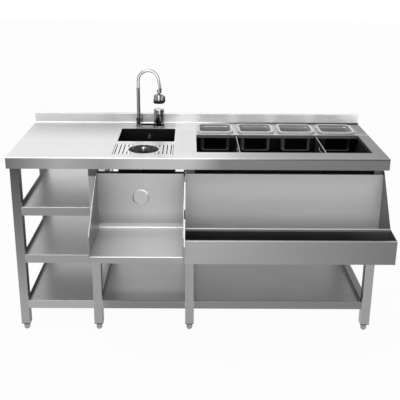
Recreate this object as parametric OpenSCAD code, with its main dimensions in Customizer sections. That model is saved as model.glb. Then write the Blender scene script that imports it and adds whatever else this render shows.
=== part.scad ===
// Stainless steel bar counter: sink with spray tap, glass rinser, ice well with garnish pans,
// set-back work recess, bottle rail and open shelves on eight square legs.
// X runs along the counter, Y from the user to the back, Z up from the floor.
// Heights are above the floor. Depths are written from the worktop's front edge (Y = 0 there),
// and from_front() moves that edge so that the origin lies under the middle of the whole counter.

/* [Worktop] */
// Length of the worktop
top_l = 1650; // [1640:5:1700]
// Depth of the worktop from its front edge to the rear upstand
top_d = 635; // [630:1:650]
// Height of the worktop above the floor
top_h = 850; // [840:5:870]
// Depth of the folded front edge
apron_h = 50; // [48:1:56]
// Height of the rear upstand above the worktop
upstand_h = 50; // [30:5:100]
// Thickness of the folded rear upstand
upstand_t = 15; // [12:1:20]
// Thickness of the worktop sheet
top_t = 1.2; // [1:0.1:1.5]

/* [Legs and feet] */
// Centre lines of the four pairs of legs
leg_x = [-796, -457, -34, 787]; // [-800:1:800]
// Width of the square leg tube
leg_w = 40; // [38:1:40]
// Wall of the leg tube
leg_wall = 1.5; // [1.2:0.1:2]
// Front face of the front legs behind the worktop's front edge
leg_front = 25; // [22:1:28]
// Front face of the rear legs
leg_rear = 600; // [598:1:605]
// Height of a bullet foot below its insert
foot_h = 34; // [30:1:45]
// Diameter of a bullet foot
foot_d = 28; // [26:1:34]

/* [Shelves] */
// Upper faces of the two side shelves
side_shelf_z = [615, 386]; // [300:1:640]
// Upper face of the lower shelves
low_shelf_z = 156; // [140:1:180]
// Depth of a shelf's folded front lip
shelf_lip = 40; // [30:1:45]
// Height of a shelf's folded side edge
shelf_edge = 20; // [10:1:25]
// Thickness of the shelf sheet
shelf_t = 1.2; // [1:0.1:1.5]

/* [Sink] */
// Width and depth of the sink opening
sink_size = [264, 242]; // [200:1:280]
// Centre of the sink opening
sink_at = [-240, 393]; // [-260:1:400]
// Depth of the bowl below the worktop
sink_depth = 204; // [180:1:220]
// Radius of the hole for the basket waste
waste_r = 44; // [44:1:46]

/* [Glass rinser] */
// Width and depth of the grille opening
grille_size = [266, 180]; // [240:1:270]
// Centre of the grille opening
grille_at = [-242, 141]; // [-250:1:150]
// Diameter of the round cup
cup_d = 132; // [120:1:140]
// Distance between the grille's slots
slot_pitch = 17.5; // [14:0.5:20]
// Width of a grille slot
slot_w = 4.5; // [3:0.5:6]
// Travel of the star when a glass is pressed on it
star_travel = 8; // [6:1:9]

/* [Ice well] */
// Left and right edges of the well opening
well_x = [-6, 772]; // [-8:1:775]
// Front and rear edges of the well opening
well_y = [97, 402]; // [95:1:405]
// Rear wall of the liner
liner_back = 582; // [580:1:584]
// Depth of the liner below the worktop
liner_depth = 292; // [250:1:300]
// Thickness of the foam at the sides and bottom
foam_t = 24; // [20:1:25]
// Places of the two dividers
divider_x = [186, 569]; // [180:1:580]

/* [Garnish pans] */
// Outer size of a pan rim, a sixth-size gastronorm pan
pan_rim = [176, 162]; // [160:1:180]
// Depth of a pan below its rim
pan_depth = 99; // [65:1:100]
// Centre of the first pan
pan_at = [87, 505]; // [85:1:507]
// Distance between the pans
pan_pitch = 197.5; // [195:0.5:198]

/* [Work recess] */
// Left and right ends of the recess
recess_x = [-436, -62]; // [-436:1:-60]
// Front face of the back panel and of the ice bin panel
panel_y = 15; // [14:1:18]
// Top of both panels
panel_z = 776; // [770:1:780]
// Upper face of the recess shelf
recess_z = 525; // [515:1:540]
// Reach of the recess shelf in front of the worktop
reach = 300; // [290:1:310]
// Depth of the recess shelf's front lip
recess_lip = 28; // [20:1:35]
// Height at which a cheek's slope ends
cheek_low = 610; // [590:1:640]
// Diameter of the round cable port
port_d = 70; // [60:1:80]

/* [Bottle rail] */
// Left and right ends of the rail
rail_x = [-54, 806]; // [-54:1:806]
// Front of the rail in front of the worktop
rail_reach = 272; // [260:1:285]
// Inside width of the bottle trough
trough_w = 108; // [95:1:115]
// Floor of the rail
rail_z = 481; // [470:1:490]
// Top of the front wall
rail_front_z = 584; // [570:1:590]
// Top of the back wall
rail_back_z = 594; // [585:1:600]

/* [Tap] */
// Centre line of the mixer body
mixer_at = [-191, 560]; // [-195:1:562]
// Centre line of the riser
riser_x = -292; // [-295:1:-285]
// Height of the side arm's centre line above the worktop
arm_up = 13; // [12:1:14]
// Radius of the riser pipe
riser_r = 8.8; // [8:0.1:10]
// Top of the straight riser
riser_top = 1045; // [1035:1:1060]
// Bend radius of the gooseneck
neck_r = 50; // [46:1:55]
// Outward lean of the gooseneck's free end
neck_lean = 9.5; // [5:0.5:12]

/* [Hidden] */
$fn = 48;

back_y = top_d + upstand_t;            // rear face of the counter
mid_y = (back_y - reach) / 2;          // middle of the counter's depth, the origin
under_z = top_h - top_t;               // underside of the worktop sheet
apron_z = top_h - apron_h;             // lower edge of the folded front
upstand_z = top_h + upstand_h;         // top of the rear upstand
bend_r = 3;                            // outer radius of a folded edge
cove_r = 8;                            // coved foot of the upstand
return_w = 14;                         // width of a folded-back return
flange_h = 16;                         // depth of the down-turned rims of the cut-outs
rim_r = 10;                            // corner radius of the worktop's cut-outs
pan_hole = [158, 144];                 // cut-out for one pan
pan_corner = 30;                       // corner radius of a pan's rim
pan_lip = 8;                           // height of a pan's rim above the worktop
leg_z0 = foot_h + 3;                   // lower end of a leg tube, above its insert's flange
rail_h = 40;                           // depth of a top rail
rail_t = 20;                           // thickness of a top rail
sheet = 1;                             // thinner sheet of panels, liner and casing
bowl_z = top_h - sink_depth;           // inner floor of the sink bowl
liner_in = [[well_x[0] - 4, well_y[0] - 4], [well_x[1] + 4, liner_back]];
liner_z = top_h - liner_depth;         // inner floor of the ice bin liner
casing_x = [liner_in[0][0] - sheet - foam_t - sheet, liner_in[1][0] + sheet + foam_t + sheet];
casing_y = [leg_front + leg_w + 2, leg_rear - 2];
casing_z = liner_z - sheet - foam_t - sheet;
floor_up = 12;                         // the false floor stands this far above the liner's floor
floor_t = 1.5;
guide_foot = liner_z + floor_up + 20;  // the dividers stand on their guides at this height
tray_z = top_h - 20;                   // floor of the rinser's drip pan
spring_z = tray_z - 14;                // seat of the rinser's return spring
drain_at = [60, 330];                  // ice bin drain
arm_z = top_h + arm_up;                // centre line of the tap's side arm
valve_z = top_h + 30;                  // axis of the quarter-turn lever
hub_z = top_h + 66;                    // centre of the mixer's ball
lever_turn = 240;                      // plan direction in which the handle lever points
ball_at = [mixer_at[0], 1022];         // X and Z of the spray head's ball
neck_mid = [riser_x + neck_r, riser_top + 35];  // X and Z of the gooseneck's bend centre

// ---------- shared helpers ----------

// Children drawn from the worktop's front edge
module from_front() translate([0, -mid_y, 0]) children();

// Box between two corners
module block(x, y, z) translate([x[0], y[0], z[0]]) cube([x[1] - x[0], y[1] - y[0], z[1] - z[0]]);

// Flat strip between two corners
module strip(x, y) translate([x[0], y[0]]) square([x[1] - x[0], y[1] - y[0]]);

// Quarter ring of a folded sheet: centre, outer radius, sheet, start angle
module bend(at, r, t, turn) translate(at) rotate(turn) intersection() {
    difference() {
        circle(r);
        circle(r - t);
    }
    square(r + 1);
}

// A profile in Y and Z drawn along X
module along_x(x) translate([x[0], 0, 0]) rotate([90, 0, 90]) linear_extrude(x[1] - x[0]) children();

// Rounded rectangle about the origin
module round_rect(size, r) {
    square([size[0], size[1] - 2 * r], center = true);
    square([size[0] - 2 * r, size[1]], center = true);
    for (sx = [-1, 1], sy = [-1, 1])
        translate([sx * (size[0] / 2 - r), sy * (size[1] / 2 - r)]) circle(r);
}

// Rounded rectangle between two corners
module round_area(x, y, r)
    translate([(x[0] + x[1]) / 2, (y[0] + y[1]) / 2]) round_rect([x[1] - x[0], y[1] - y[0]], r);

// Square or flat tube between two corners, open along one axis ("x", "y" or "z")
module box_tube(x, y, z, wall, open) difference() {
    block(x, y, z);
    block(open == "x" ? [x[0] - 1, x[1] + 1] : [x[0] + wall, x[1] - wall],
          open == "y" ? [y[0] - 1, y[1] + 1] : [y[0] + wall, y[1] - wall],
          open == "z" ? [z[0] - 1, z[1] + 1] : [z[0] + wall, z[1] - wall]);
}

// Ring around a vertical axis
module ring(r_out, r_in, z) translate([0, 0, z[0]]) difference() {
    cylinder(r = r_out, h = z[1] - z[0]);
    translate([0, 0, -1]) cylinder(r = r_in, h = z[1] - z[0] + 2);
}

// Narrow band of sheet along a line in the drawing plane
module band(p, q, t) translate(p) rotate(atan2(q[1] - p[1], q[0] - p[0])) square([norm(q - p), t]);

// Hexagon nut around a vertical axis, flats apart by af
module hex_ring(af, r_in, z) difference() {
    translate([0, 0, z[0]]) cylinder(r = af / sqrt(3), h = z[1] - z[0], $fn = 6);
    translate([0, 0, z[0] - 1]) cylinder(r = r_in, h = z[1] - z[0] + 2);
}

// ---------- worktop ----------

// Section of the worktop from the front return to the rear return
module worktop_section() {
    strip([0, return_w], [apron_z, apron_z + top_t]);
    strip([0, top_t], [apron_z, top_h - bend_r]);
    bend([bend_r, top_h - bend_r], bend_r, top_t, 90);
    strip([bend_r, top_d - cove_r], [under_z, top_h]);
    bend([top_d - cove_r, top_h + cove_r], cove_r + top_t, top_t, 270);
    strip([top_d, top_d + top_t], [top_h + cove_r, upstand_z - bend_r]);
    bend([top_d + bend_r, upstand_z - bend_r], bend_r, top_t, 90);
    strip([top_d + bend_r, back_y - bend_r], [upstand_z - top_t, upstand_z]);
    bend([back_y - bend_r, upstand_z - bend_r], bend_r, top_t, 0);
    strip([back_y - top_t, back_y], [apron_z, upstand_z - bend_r]);
    strip([back_y - return_w / 2, back_y], [apron_z, apron_z + top_t]);
}

// Outline of the end plate that closes the worktop and the upstand
module worktop_end() {
    strip([0, back_y], [apron_z, top_h - bend_r]);
    strip([bend_r, back_y], [apron_z, top_h]);
    translate([bend_r, top_h - bend_r]) circle(bend_r);
    strip([top_d, back_y], [top_h - bend_r, upstand_z - bend_r]);
    strip([top_d + bend_r, back_y - bend_r], [top_h, upstand_z]);
    for (y = [top_d + bend_r, back_y - bend_r]) translate([y, upstand_z - bend_r]) circle(bend_r);
}

// Outlines of the cut-outs, grown by extra
module sink_outline(extra) translate(sink_at) round_rect(sink_size + [2, 2] * extra, rim_r + extra);
module grille_outline(extra) translate(grille_at) round_rect(grille_size + [2, 2] * extra, rim_r / 2 + extra);
module well_outline(extra)
    round_area(well_x + [-extra, extra], well_y + [-extra, extra], rim_r / 2 + extra);
module pan_outline(i, extra)
    translate(pan_at + [i * pan_pitch, 0]) round_rect(pan_hole + [2, 2] * extra, 24 + extra);

module worktop() color("silver") from_front() {
    difference() {
        union() {
            along_x([-top_l / 2, top_l / 2]) worktop_section();
            for (x = [-top_l / 2, top_l / 2 - top_t]) along_x([x, x + top_t]) worktop_end();
            translate([0, 0, top_h - flange_h]) linear_extrude(flange_h - top_t / 2) {
                well_outline(top_t);
                for (i = [0:3]) pan_outline(i, top_t);
            }
        }
        translate([0, 0, top_h - flange_h - 1]) linear_extrude(flange_h + 2) {
            well_outline(0);
            for (i = [0:3]) pan_outline(i, 0);
        }
        translate([0, 0, under_z - 1]) linear_extrude(top_t + 2) {
            sink_outline(0);
            grille_outline(0);
        }
        translate([mixer_at[0], mixer_at[1], under_z - 1]) cylinder(r = 17.5, h = top_t + 2);
    }
}

// Hat-section channels that stiffen the worktop over the side shelves
module worktop_channels() color("gray") from_front() {
    channel_h = 20;
    for (y = [150, 320, 490])
        along_x([leg_x[0] + leg_w / 2 + 6, leg_x[1] - leg_w / 2 - 6]) {
            strip([y - 35, y - 20], [under_z - sheet, under_z]);
            strip([y + 20, y + 35], [under_z - sheet, under_z]);
            strip([y - 21, y - 20], [under_z - channel_h, under_z]);
            strip([y + 20, y + 21], [under_z - channel_h, under_z]);
            strip([y - 21, y + 21], [under_z - channel_h, under_z - channel_h + sheet]);
        }
}

// ---------- frame ----------

module legs() color("darkgray") from_front()
    for (x = leg_x, y = [leg_front, leg_rear])
        box_tube([x - leg_w / 2, x + leg_w / 2], [y, y + leg_w], [leg_z0, under_z], leg_wall, "z");

// Rails between the legs, close under the worktop
module top_rails() color("gray") from_front() {
    z = [under_z - rail_h, under_z];
    for (i = [0:2], y = [leg_front, leg_rear + leg_w - rail_t])
        box_tube([leg_x[i] + leg_w / 2, leg_x[i + 1] - leg_w / 2], [y, y + rail_t], z, leg_wall, "x");
    for (x = [leg_x[0], leg_x[1]])
        box_tube([x - rail_t / 2, x + rail_t / 2], [leg_front + leg_w, leg_rear], z, leg_wall, "y");
}

// Tube at the right end that carries the lower shelf
module end_rail() color("dimgray") from_front() {
    x1 = leg_x[3] + leg_w / 2 - 12;
    box_tube([x1 - leg_w, x1], [leg_front + leg_w, leg_rear], [low_shelf_z - 30, low_shelf_z], leg_wall, "y");
}

// Plug in the lower end of a leg tube, with the bore for the foot's stem
module leg_inserts() color("dimgray") from_front() {
    inner = leg_w - 2 * leg_wall - 0.2;
    for (x = leg_x, y = [leg_front, leg_rear]) translate([x, y + leg_w / 2, 0]) difference() {
        union() {
            translate([0, 0, foot_h]) linear_extrude(leg_z0 - foot_h) square(leg_w, center = true);
            translate([0, 0, leg_z0 - 1]) linear_extrude(26) square(inner, center = true);
        }
        translate([0, 0, foot_h - 1]) cylinder(r = 6.06, h = 40);
    }
}

// Bullet foot with its levelling stem, number 0 to 7 from the front left to the rear right
module foot(i) {
    r = foot_d / 2;
    x = leg_x[i % 4];
    y = i < 4 ? leg_front : leg_rear;
    color("darkgray") from_front() translate([x, y + leg_w / 2, 0]) {
        rotate_extrude() {
            difference() {
                union() {
                    strip([0, r - 2], [10, foot_h - 0.4]);
                    strip([0, r], [12, foot_h - 8]);
                    intersection() {
                        translate([0, 12]) circle(r);
                        strip([0, r], [0, 12]);
                    }
                }
                strip([-r, 0], [-r, foot_h]);
            }
        }
        translate([0, 0, foot_h - 1]) cylinder(r = 6, h = 26);
    }
}

// ---------- shelves ----------

// Folded shelf between two legs: down-turned lips front and rear, up-turned edges at the sides.
// Between the front and rear leg at its right end the plate reaches on by over.
module shelf(x, z, lip_x, over = 0) {
    y = [leg_front, leg_rear + leg_w];
    y_in = [leg_front + leg_w + 1, leg_rear - 1];
    y_out = [y[0] + bend_r, y[1] - bend_r];
    along_x(x) {
        strip(y_out, [z - shelf_t, z]);
        bend([y[0] + bend_r, z - bend_r], bend_r, shelf_t, 90);
        bend([y[1] - bend_r, z - bend_r], bend_r, shelf_t, 0);
    }
    along_x(lip_x) {
        strip([y[0], y[0] + shelf_t], [z - shelf_lip, z - bend_r]);
        strip([y[0], y[0] + return_w], [z - shelf_lip, z - shelf_lip + shelf_t]);
    }
    along_x(x) {
        strip([y[1] - shelf_t, y[1]], [z - shelf_lip, z - bend_r]);
        strip([y[1] - return_w, y[1]], [z - shelf_lip, z - shelf_lip + shelf_t]);
    }
    block([x[0], x[0] + shelf_t], y_out, [z - shelf_t, z + shelf_edge]);
    if (over > 0) block([x[1] - 1, x[1] + over], y_in, [z - shelf_t, z]);
    block([x[1] + over - shelf_t, x[1] + over], over > 0 ? y_in : y_out, [z - shelf_t, z + shelf_edge]);
}

// Clear width between two neighbouring pairs of legs
function bay(i) = [leg_x[i] + leg_w / 2, leg_x[i + 1] - leg_w / 2];

module side_shelves() color("silver") from_front()
    for (z = side_shelf_z) shelf(bay(0), z, bay(0), leg_w - 1);

module lower_shelves() color("silver") from_front() {
    for (i = [0, 1]) shelf(bay(i), low_shelf_z, bay(i), leg_w - 1);
    shelf([bay(2)[0], bay(2)[1] - 12], low_shelf_z, bay(2));
}

// ---------- sink ----------

module sink_bowl() color("dimgray") from_front() difference() {
    union() {
        translate([0, 0, under_z - sheet]) linear_extrude(sheet) sink_outline(15);
        translate([0, 0, bowl_z - top_t]) linear_extrude(under_z - bowl_z + top_t) sink_outline(top_t);
    }
    translate([0, 0, bowl_z]) linear_extrude(sink_depth) sink_outline(0);
    translate([sink_at[0], sink_at[1], bowl_z - 5]) cylinder(r = waste_r, h = 10);
    translate([sink_at[0] + 3, sink_at[1] + sink_size[1] / 2 - 5, top_h - 38])
        rotate([-90, 0, 0]) cylinder(r = 11, h = 10);
}

// Round overflow cover with its bolt in the bowl's rear wall, and the duct cup behind the wall
module sink_overflow() color("silver") from_front()
    translate([sink_at[0] + 3, sink_at[1] + sink_size[1] / 2, top_h - 38]) rotate([90, 0, 0]) {
        ring(14, 7, [0, 1.5]);
        ring(10.9, 7, [-top_t, 0.5]);
        difference() {
            translate([0, 0, -top_t - 14]) cylinder(r = 16, h = 14);
            translate([0, 0, -top_t - 12]) cylinder(r = 13, h = 10.5);
            translate([0, 0, -top_t - 5]) cylinder(r = 7, h = 10);
        }
    }

module sink_waste() color("silver") from_front() translate([sink_at[0], sink_at[1], 0])
    rotate_extrude() {
        strip([waste_r - 2.5, 56], [bowl_z, bowl_z + 1.5]);
        strip([waste_r - 2.5, waste_r - 0.5], [bowl_z - 56, bowl_z + 1]);
        strip([20.5, waste_r - 0.5], [bowl_z - 56, bowl_z - 54]);
        strip([20.5, 23.9], [bowl_z - 100, bowl_z - 54]);
    }

module waste_nut() color("dimgray") from_front() translate([sink_at[0], sink_at[1], 0]) {
    ring(54, waste_r - 0.4, [bowl_z - top_t - 10, bowl_z - top_t]);
    for (a = [0:45:315]) rotate(a)
        block([53, 58], [-5, 5], [bowl_z - top_t - 10, bowl_z - top_t]);
}

// Basket strainer that lifts out by its knob
module sink_basket() color("silver") from_front() translate([sink_at[0], sink_at[1], bowl_z + 1.5]) {
    difference() {
        rotate_extrude() {
            strip([38, 48], [0, 1]);
            strip([38, 39], [-34, 1]);
            strip([0, 39], [-34, -33]);
            strip([0, 3], [-34, 4]);
            strip([0, 8], [4, 9]);
        }
        for (r = [14, 22, 30], a = [0:30:330]) rotate(a) translate([r, 0, -36]) cylinder(r = 2.2, h = 5);
    }
}

// ---------- glass rinser ----------

// Drip pan hung under the grille opening
module rinser_tray() color("silver") from_front() difference() {
    union() {
        translate([0, 0, under_z - sheet]) linear_extrude(sheet) grille_outline(5);
        translate([0, 0, tray_z - sheet]) linear_extrude(under_z - tray_z + sheet) grille_outline(sheet);
        translate([grille_at[0] + 95, grille_at[1], tray_z - 40]) cylinder(r = 13, h = 40);
    }
    translate([0, 0, tray_z]) linear_extrude(40) grille_outline(0);
    translate([grille_at[0], grille_at[1], tray_z - 5]) cylinder(r = 14.2, h = 10);
    translate([grille_at[0] + 95, grille_at[1], tray_z - 50]) cylinder(r = 10.5, h = 60);
}

// Slotted grille, flush with the worktop, standing on its folded sides
module rinser_grille() {
    size = grille_size - [5, 3];
    slot_l = grille_size[1] - 26;
    clear_r = cup_d / 2 + 12;
    color("silver") from_front() translate([grille_at[0], grille_at[1], 0]) {
        difference() {
            translate([0, 0, top_h - 2]) linear_extrude(2) round_rect(size, 3);
            translate([0, 0, top_h - 3]) cylinder(r = cup_d / 2 + 2, h = 4);
            for (k = [-7:7]) {
                dx = k * slot_pitch;
                cut = abs(dx) < clear_r ? sqrt(clear_r * clear_r - dx * dx) : 0;
                if (slot_l / 2 - cut > slot_w)
                    for (s = cut == 0 ? [1] : [-1, 1]) translate([dx, 0, top_h - 3]) linear_extrude(4)
                        round_area([-slot_w / 2, slot_w / 2],
                                   cut == 0 ? [-slot_l / 2, slot_l / 2]
                                            : (s > 0 ? [cut, slot_l / 2] : [-slot_l / 2, -cut]),
                                   slot_w / 2 - 0.01);
            }
        }
        for (x = [-size[0] / 2 + 3, size[0] / 2 - 4])
            block([x, x + 1], [-size[1] / 2 + 4, size[1] / 2 - 4], [tray_z, top_h - 2]);
    }
}

// Dished cup with a raised rim, a guide for the star's stem and a threaded shank below
module rinser_cup() {
    r = cup_d / 2;
    color([0.08, 0.08, 0.09]) from_front() translate([grille_at[0], grille_at[1], 0]) rotate_extrude() {
        difference() {
            polygon([[5.06, tray_z], [30, tray_z], [r - 8, top_h - 14], [r, top_h - 4], [r, top_h + 1.5],
                     [r - 4, top_h + 1.5], [r - 7, top_h - 3], [r - 14, top_h - 11], [16, top_h - 13],
                     [12, top_h - 6], [5.06, top_h - 6]]);
            strip([0, 9], [tray_z - 1, top_h - 9]);
        }
        strip([9, 14], [tray_z - 60, tray_z]);
        strip([5.06, 10], [spring_z - 3, spring_z]);
    }
}

// Chrome star: hub, eight petals with a spray hole each, and an outer ring on a sliding stem
module rinser_star() color("gainsboro") from_front() translate([grille_at[0], grille_at[1], 0]) {
    z = [top_h + 3, top_h + 6];
    ring_r = cup_d / 2 - 16;
    difference() {
        union() {
            translate([0, 0, z[0]]) linear_extrude(z[1] - z[0]) {
                circle(12);
                difference() {
                    circle(ring_r);
                    circle(ring_r - 4);
                }
                for (a = [0:45:315]) rotate(a) {
                    translate([10, -2.5]) square([ring_r - 12, 5]);
                    translate([26, 0]) circle(6);
                }
            }
            translate([0, 0, z[0]]) cylinder(r1 = 9, r2 = 4, h = 7);
        }
        for (a = [0:45:315]) rotate(a) translate([26, 0, z[0] - 1]) cylinder(r = 1.5, h = 6);
    }
    translate([0, 0, tray_z - 22]) cylinder(r = 5, h = z[0] - tray_z + 23);
    translate([0, 0, top_h - 13]) cylinder(r = 7.5, h = 3);
}

// Point on the return spring's wire: coil angle, angle around the wire
function spring_point(turn, around) = let (coil_r = 7.2, wire = 0.7, lead = (top_h - 13 - spring_z - 1.4) / 6)
    [(coil_r + wire * cos(around)) * cos(turn), (coil_r + wire * cos(around)) * sin(turn),
     spring_z + wire + lead * turn / 360 + wire * sin(around)];

// Return spring under the star's collar, one unbroken wire
module rinser_spring() {
    sides = 6;
    steps = 24 * 6;
    points = [for (i = [0:steps], k = [0:sides - 1]) spring_point(i * 15, k * 360 / sides)];
    walls = [for (i = [0:steps - 1], k = [0:sides - 1]) let (n = (k + 1) % sides)
        [i * sides + k, i * sides + n, (i + 1) * sides + n, (i + 1) * sides + k]];
    caps = [[for (k = [sides - 1:-1:0]) k], [for (k = [0:sides - 1]) steps * sides + k]];
    color("gray") from_front() translate([grille_at[0], grille_at[1], 0])
        polyhedron(points = points, faces = concat(walls, caps));
}

// Valve screwed onto the cup's shank: hexagon against the drip pan, chamber and threaded inlet
module rinser_valve() color("goldenrod") from_front() translate([grille_at[0], grille_at[1], 0]) {
    hex_ring(38, 14.05, [tray_z - sheet - 9, tray_z - sheet]);
    rotate_extrude() {
        strip([14.05, 17], [tray_z - 60, tray_z - sheet - 8]);
        strip([7, 17], [tray_z - 90, tray_z - 60]);
        strip([7, 10.48], [tray_z - 118, tray_z - 88]);
    }
}

// ---------- ice bin ----------

module bin_liner() color("dimgray") from_front() difference() {
    x = [liner_in[0][0], liner_in[1][0]];
    y = [liner_in[0][1], liner_in[1][1]];
    union() {
        block(x + [-sheet, sheet], y + [-sheet, sheet], [liner_z - sheet, under_z]);
        block(x + [-14, 14], y + [-14, 14], [under_z - sheet, under_z]);
    }
    block(x, y, [liner_z, top_h]);
    translate([drain_at[0], drain_at[1], liner_z - 5]) cylinder(r = 16, h = 10);
    block([x[0] - 20, x[1] + 20], [liner_back + 12, back_y], [liner_z, top_h]);
}

module bin_insulation() color("khaki") from_front() difference() {
    x = [liner_in[0][0], liner_in[1][0]];
    y = [liner_in[0][1], liner_in[1][1]];
    block(casing_x + [sheet, -sheet], casing_y + [sheet, -sheet], [casing_z + sheet, under_z - 2 * sheet]);
    block(x + [-sheet, sheet], y + [-sheet, sheet], [liner_z - sheet, top_h]);
    translate([drain_at[0], drain_at[1], casing_z]) cylinder(r = 19, h = 40);
}

module bin_casing() color("gray") from_front() difference() {
    block(casing_x, casing_y, [casing_z, under_z - sheet]);
    block(casing_x + [sheet, -sheet], casing_y + [sheet, -sheet], [casing_z + sheet, top_h]);
    translate([drain_at[0], drain_at[1], casing_z - 5]) cylinder(r = 19, h = 10);
}

// Drain: strainer flange on the liner's floor, tube and threaded outlet below the casing
module bin_drain() color("silver") from_front() translate([drain_at[0], drain_at[1], 0]) {
    rotate_extrude() {
        strip([13.5, 26], [liner_z, liner_z + 1.5]);
        strip([13.5, 15.8], [casing_z - 12, liner_z + 1]);
        strip([13.5, 16.6], [casing_z - 45, casing_z - 12]);
        strip([15.8, 24], [casing_z - 8, casing_z]);
    }
    translate([0, 0, liner_z]) linear_extrude(1.5)
        for (a = [0:60:120]) rotate(a) square([27.5, 2], center = true);
}

// Guide rails on the liner's front and rear walls, with the stops that the dividers stand on
module divider_guides() color("gray") from_front() {
    gap = 2.4;
    for (x = divider_x, g = [[liner_in[0][1], liner_in[0][1] + 10, top_h - 26],
                             [liner_back - 10, liner_back, top_h - pan_depth - 24]]) {
        for (side = [x - gap / 2 - 2, x + gap / 2])
            block([side, side + 2], [g[0], g[1]], [guide_foot - 3, g[2]]);
        block([x - gap / 2, x + gap / 2], [g[0], g[1]], [guide_foot - 3, guide_foot]);
    }
}

// Perforated floor on folded feet, so that melt water drains below the ice
module false_floor() color("silver") from_front() {
    x = [liner_in[0][0] + 4, liner_in[1][0] - 4];
    y = [liner_in[0][1] + 4, liner_back - 4];
    z = liner_z + floor_up;
    difference() {
        block(x, y, [z - floor_t, z]);
        for (px = [0:17], py = [0:7])
            translate([x[0] + 45 + px * 40.5, y[0] + 40 + py * 57, z - 5]) cylinder(r = 7, h = 10);
        for (dx = divider_x, dy = [y[0] - 1, y[1] - 8]) block([dx - 6, dx + 6], [dy, dy + 9], [z - 5, z + 5]);
    }
    for (py = [y[0] + 9, y[1] - 9 - floor_t]) block(x, [py, py + floor_t], [liner_z, z]);
}

// Divider: stepped down under the pans, with a folded top edge
module divider(x) color("silver") from_front() {
    t = 1.5;
    front = well_y[0] + 1;
    back = liner_back - 1;
    step_y = well_y[1] - 8;
    low_z = top_h - pan_depth - 12;
    top_z = top_h - 4;
    along_x([x - t / 2, x + t / 2]) difference() {
        strip([front, back], [guide_foot, top_z]);
        strip([step_y, back + 1], [low_z, top_z + 1]);
        translate([(front + step_y) / 2, top_z - 24]) {
            strip([-30, 30], [-9, 9]);
            for (s = [-30, 30]) translate([s, 0]) circle(9);
        }
    }
    block([x - t / 2 - 1.2, x + t / 2 + 1.2], [front + 14, step_y], [top_z - 9, top_z]);
    block([x - t / 2 - 1.2, x + t / 2 + 1.2], [step_y + 4, back - 14], [low_z - 7, low_z]);
}

// Slice of a pan's body at a depth, drawn in by inset
module pan_slice(z, inset, r) translate([0, 0, z]) linear_extrude(1)
    round_rect(pan_rim - [22, 22] - [2, 2] * inset, r - inset, $fn = 32);

// Solid of a pan's body: straight below the rim, stacking shoulder, taper and rounded bottom
module pan_body(wall) {
    hull() {
        pan_slice(-0.5, wall, 24);
        pan_slice(-7, wall, 24);
        pan_slice(-11, wall + 2.5, 25);
    }
    hull() {
        pan_slice(-10.5, wall + 2.6, 25);
        pan_slice(10 - pan_depth, wall + 6, 26);
        pan_slice(3 - pan_depth + wall, wall + 8, 26);
        pan_slice(wall - pan_depth, wall + 12, 26);
    }
}

// Garnish pan: body with a flat rim and a turned-down lip that stands on the worktop
module pan(i) color("silver") from_front() translate([pan_at[0] + i * pan_pitch, pan_at[1], top_h + pan_lip])
    difference() {
        union() {
            pan_body(0);
            linear_extrude(1) round_rect(pan_rim, pan_corner);
            translate([0, 0, -pan_lip]) linear_extrude(pan_lip + 0.5) difference() {
                round_rect(pan_rim, pan_corner);
                round_rect(pan_rim - [2, 2], pan_corner - 1);
            }
        }
        translate([0, 0, 0.6]) pan_body(1);
        linear_extrude(3) round_rect(pan_rim - [24, 24], 23);
    }

// ---------- work recess ----------

// Back panel and shelf folded from one sheet, its top folded back and down, with the round cable port
module recess_shell() color("silver") from_front() difference() {
    in_r = 4;
    fold_y = panel_y + 36;
    along_x(recess_x) {
        strip([fold_y - top_t, fold_y], [panel_z - 12, panel_z - bend_r]);
        bend([fold_y - bend_r, panel_z - bend_r], bend_r, top_t, 0);
        strip([panel_y + bend_r, fold_y - bend_r], [panel_z - top_t, panel_z]);
        bend([panel_y + bend_r, panel_z - bend_r], bend_r, top_t, 90);
        strip([panel_y, panel_y + top_t], [recess_z + in_r, panel_z - bend_r]);
        bend([panel_y - in_r, recess_z + in_r], in_r + top_t, top_t, 270);
        strip([-reach + bend_r, panel_y - in_r], [recess_z - top_t, recess_z]);
        bend([-reach + bend_r, recess_z - bend_r], bend_r, top_t, 90);
        strip([-reach, -reach + top_t], [recess_z - recess_lip, recess_z - bend_r]);
        strip([-reach, -reach + return_w], [recess_z - recess_lip, recess_z - recess_lip + top_t]);
    }
    translate([(recess_x[0] + recess_x[1]) / 2, panel_y - 5, 667])
        rotate([-90, 0, 0]) cylinder(r = port_d / 2, h = 10);
}

// Side plates of the recess with a sloped, turned edge; the rear part lies along the legs
module recess_cheeks() color("darkgray") from_front() {
    top_y = -33;
    low = recess_z - recess_lip;
    rear = leg_front + leg_w;
    outline = [[rear, low], [rear, panel_z + 3], [top_y, panel_z + 3], [-reach, cheek_low], [-reach, low]];
    edge = 4;
    for (side = [[recess_x[0] - sheet, 1], [recess_x[1], -1]]) {
        along_x([side[0], side[0] + sheet]) polygon(outline);
        turned = side[1] > 0 ? [side[0] - edge + sheet, side[0] + sheet] : [side[0], side[0] + edge];
        along_x(turned) intersection() {
            polygon(outline);
            union() {
                band([-reach, cheek_low - 1.4], [top_y, panel_z + 1.6], 1.4);
                strip([-reach, -reach + 1.2], [low, cheek_low]);
            }
        }
    }
    for (z = [[735, 792], [560, 592]])
        block([recess_x[1] + sheet, leg_x[2] - leg_w / 2], [leg_front + 2, rear - 2],
              [z[0], min(z[1], panel_z + 3)]);
}

// Pressed cover with a spring collar, pulled out of the port to pass a cable
module port_cover() color("silver") from_front()
    translate([(recess_x[0] + recess_x[1]) / 2, panel_y, 667]) rotate([90, 0, 0]) rotate_extrude() {
        r = port_d / 2;
        strip([0, r - 4], [1.6, 2.8]);
        polygon([[r - 4, 1.6], [r + 2, 0], [r + 2, 1], [r - 4, 2.8]]);
        strip([r - 2, r - 0.8], [-9, 1.2]);
    }

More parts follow.
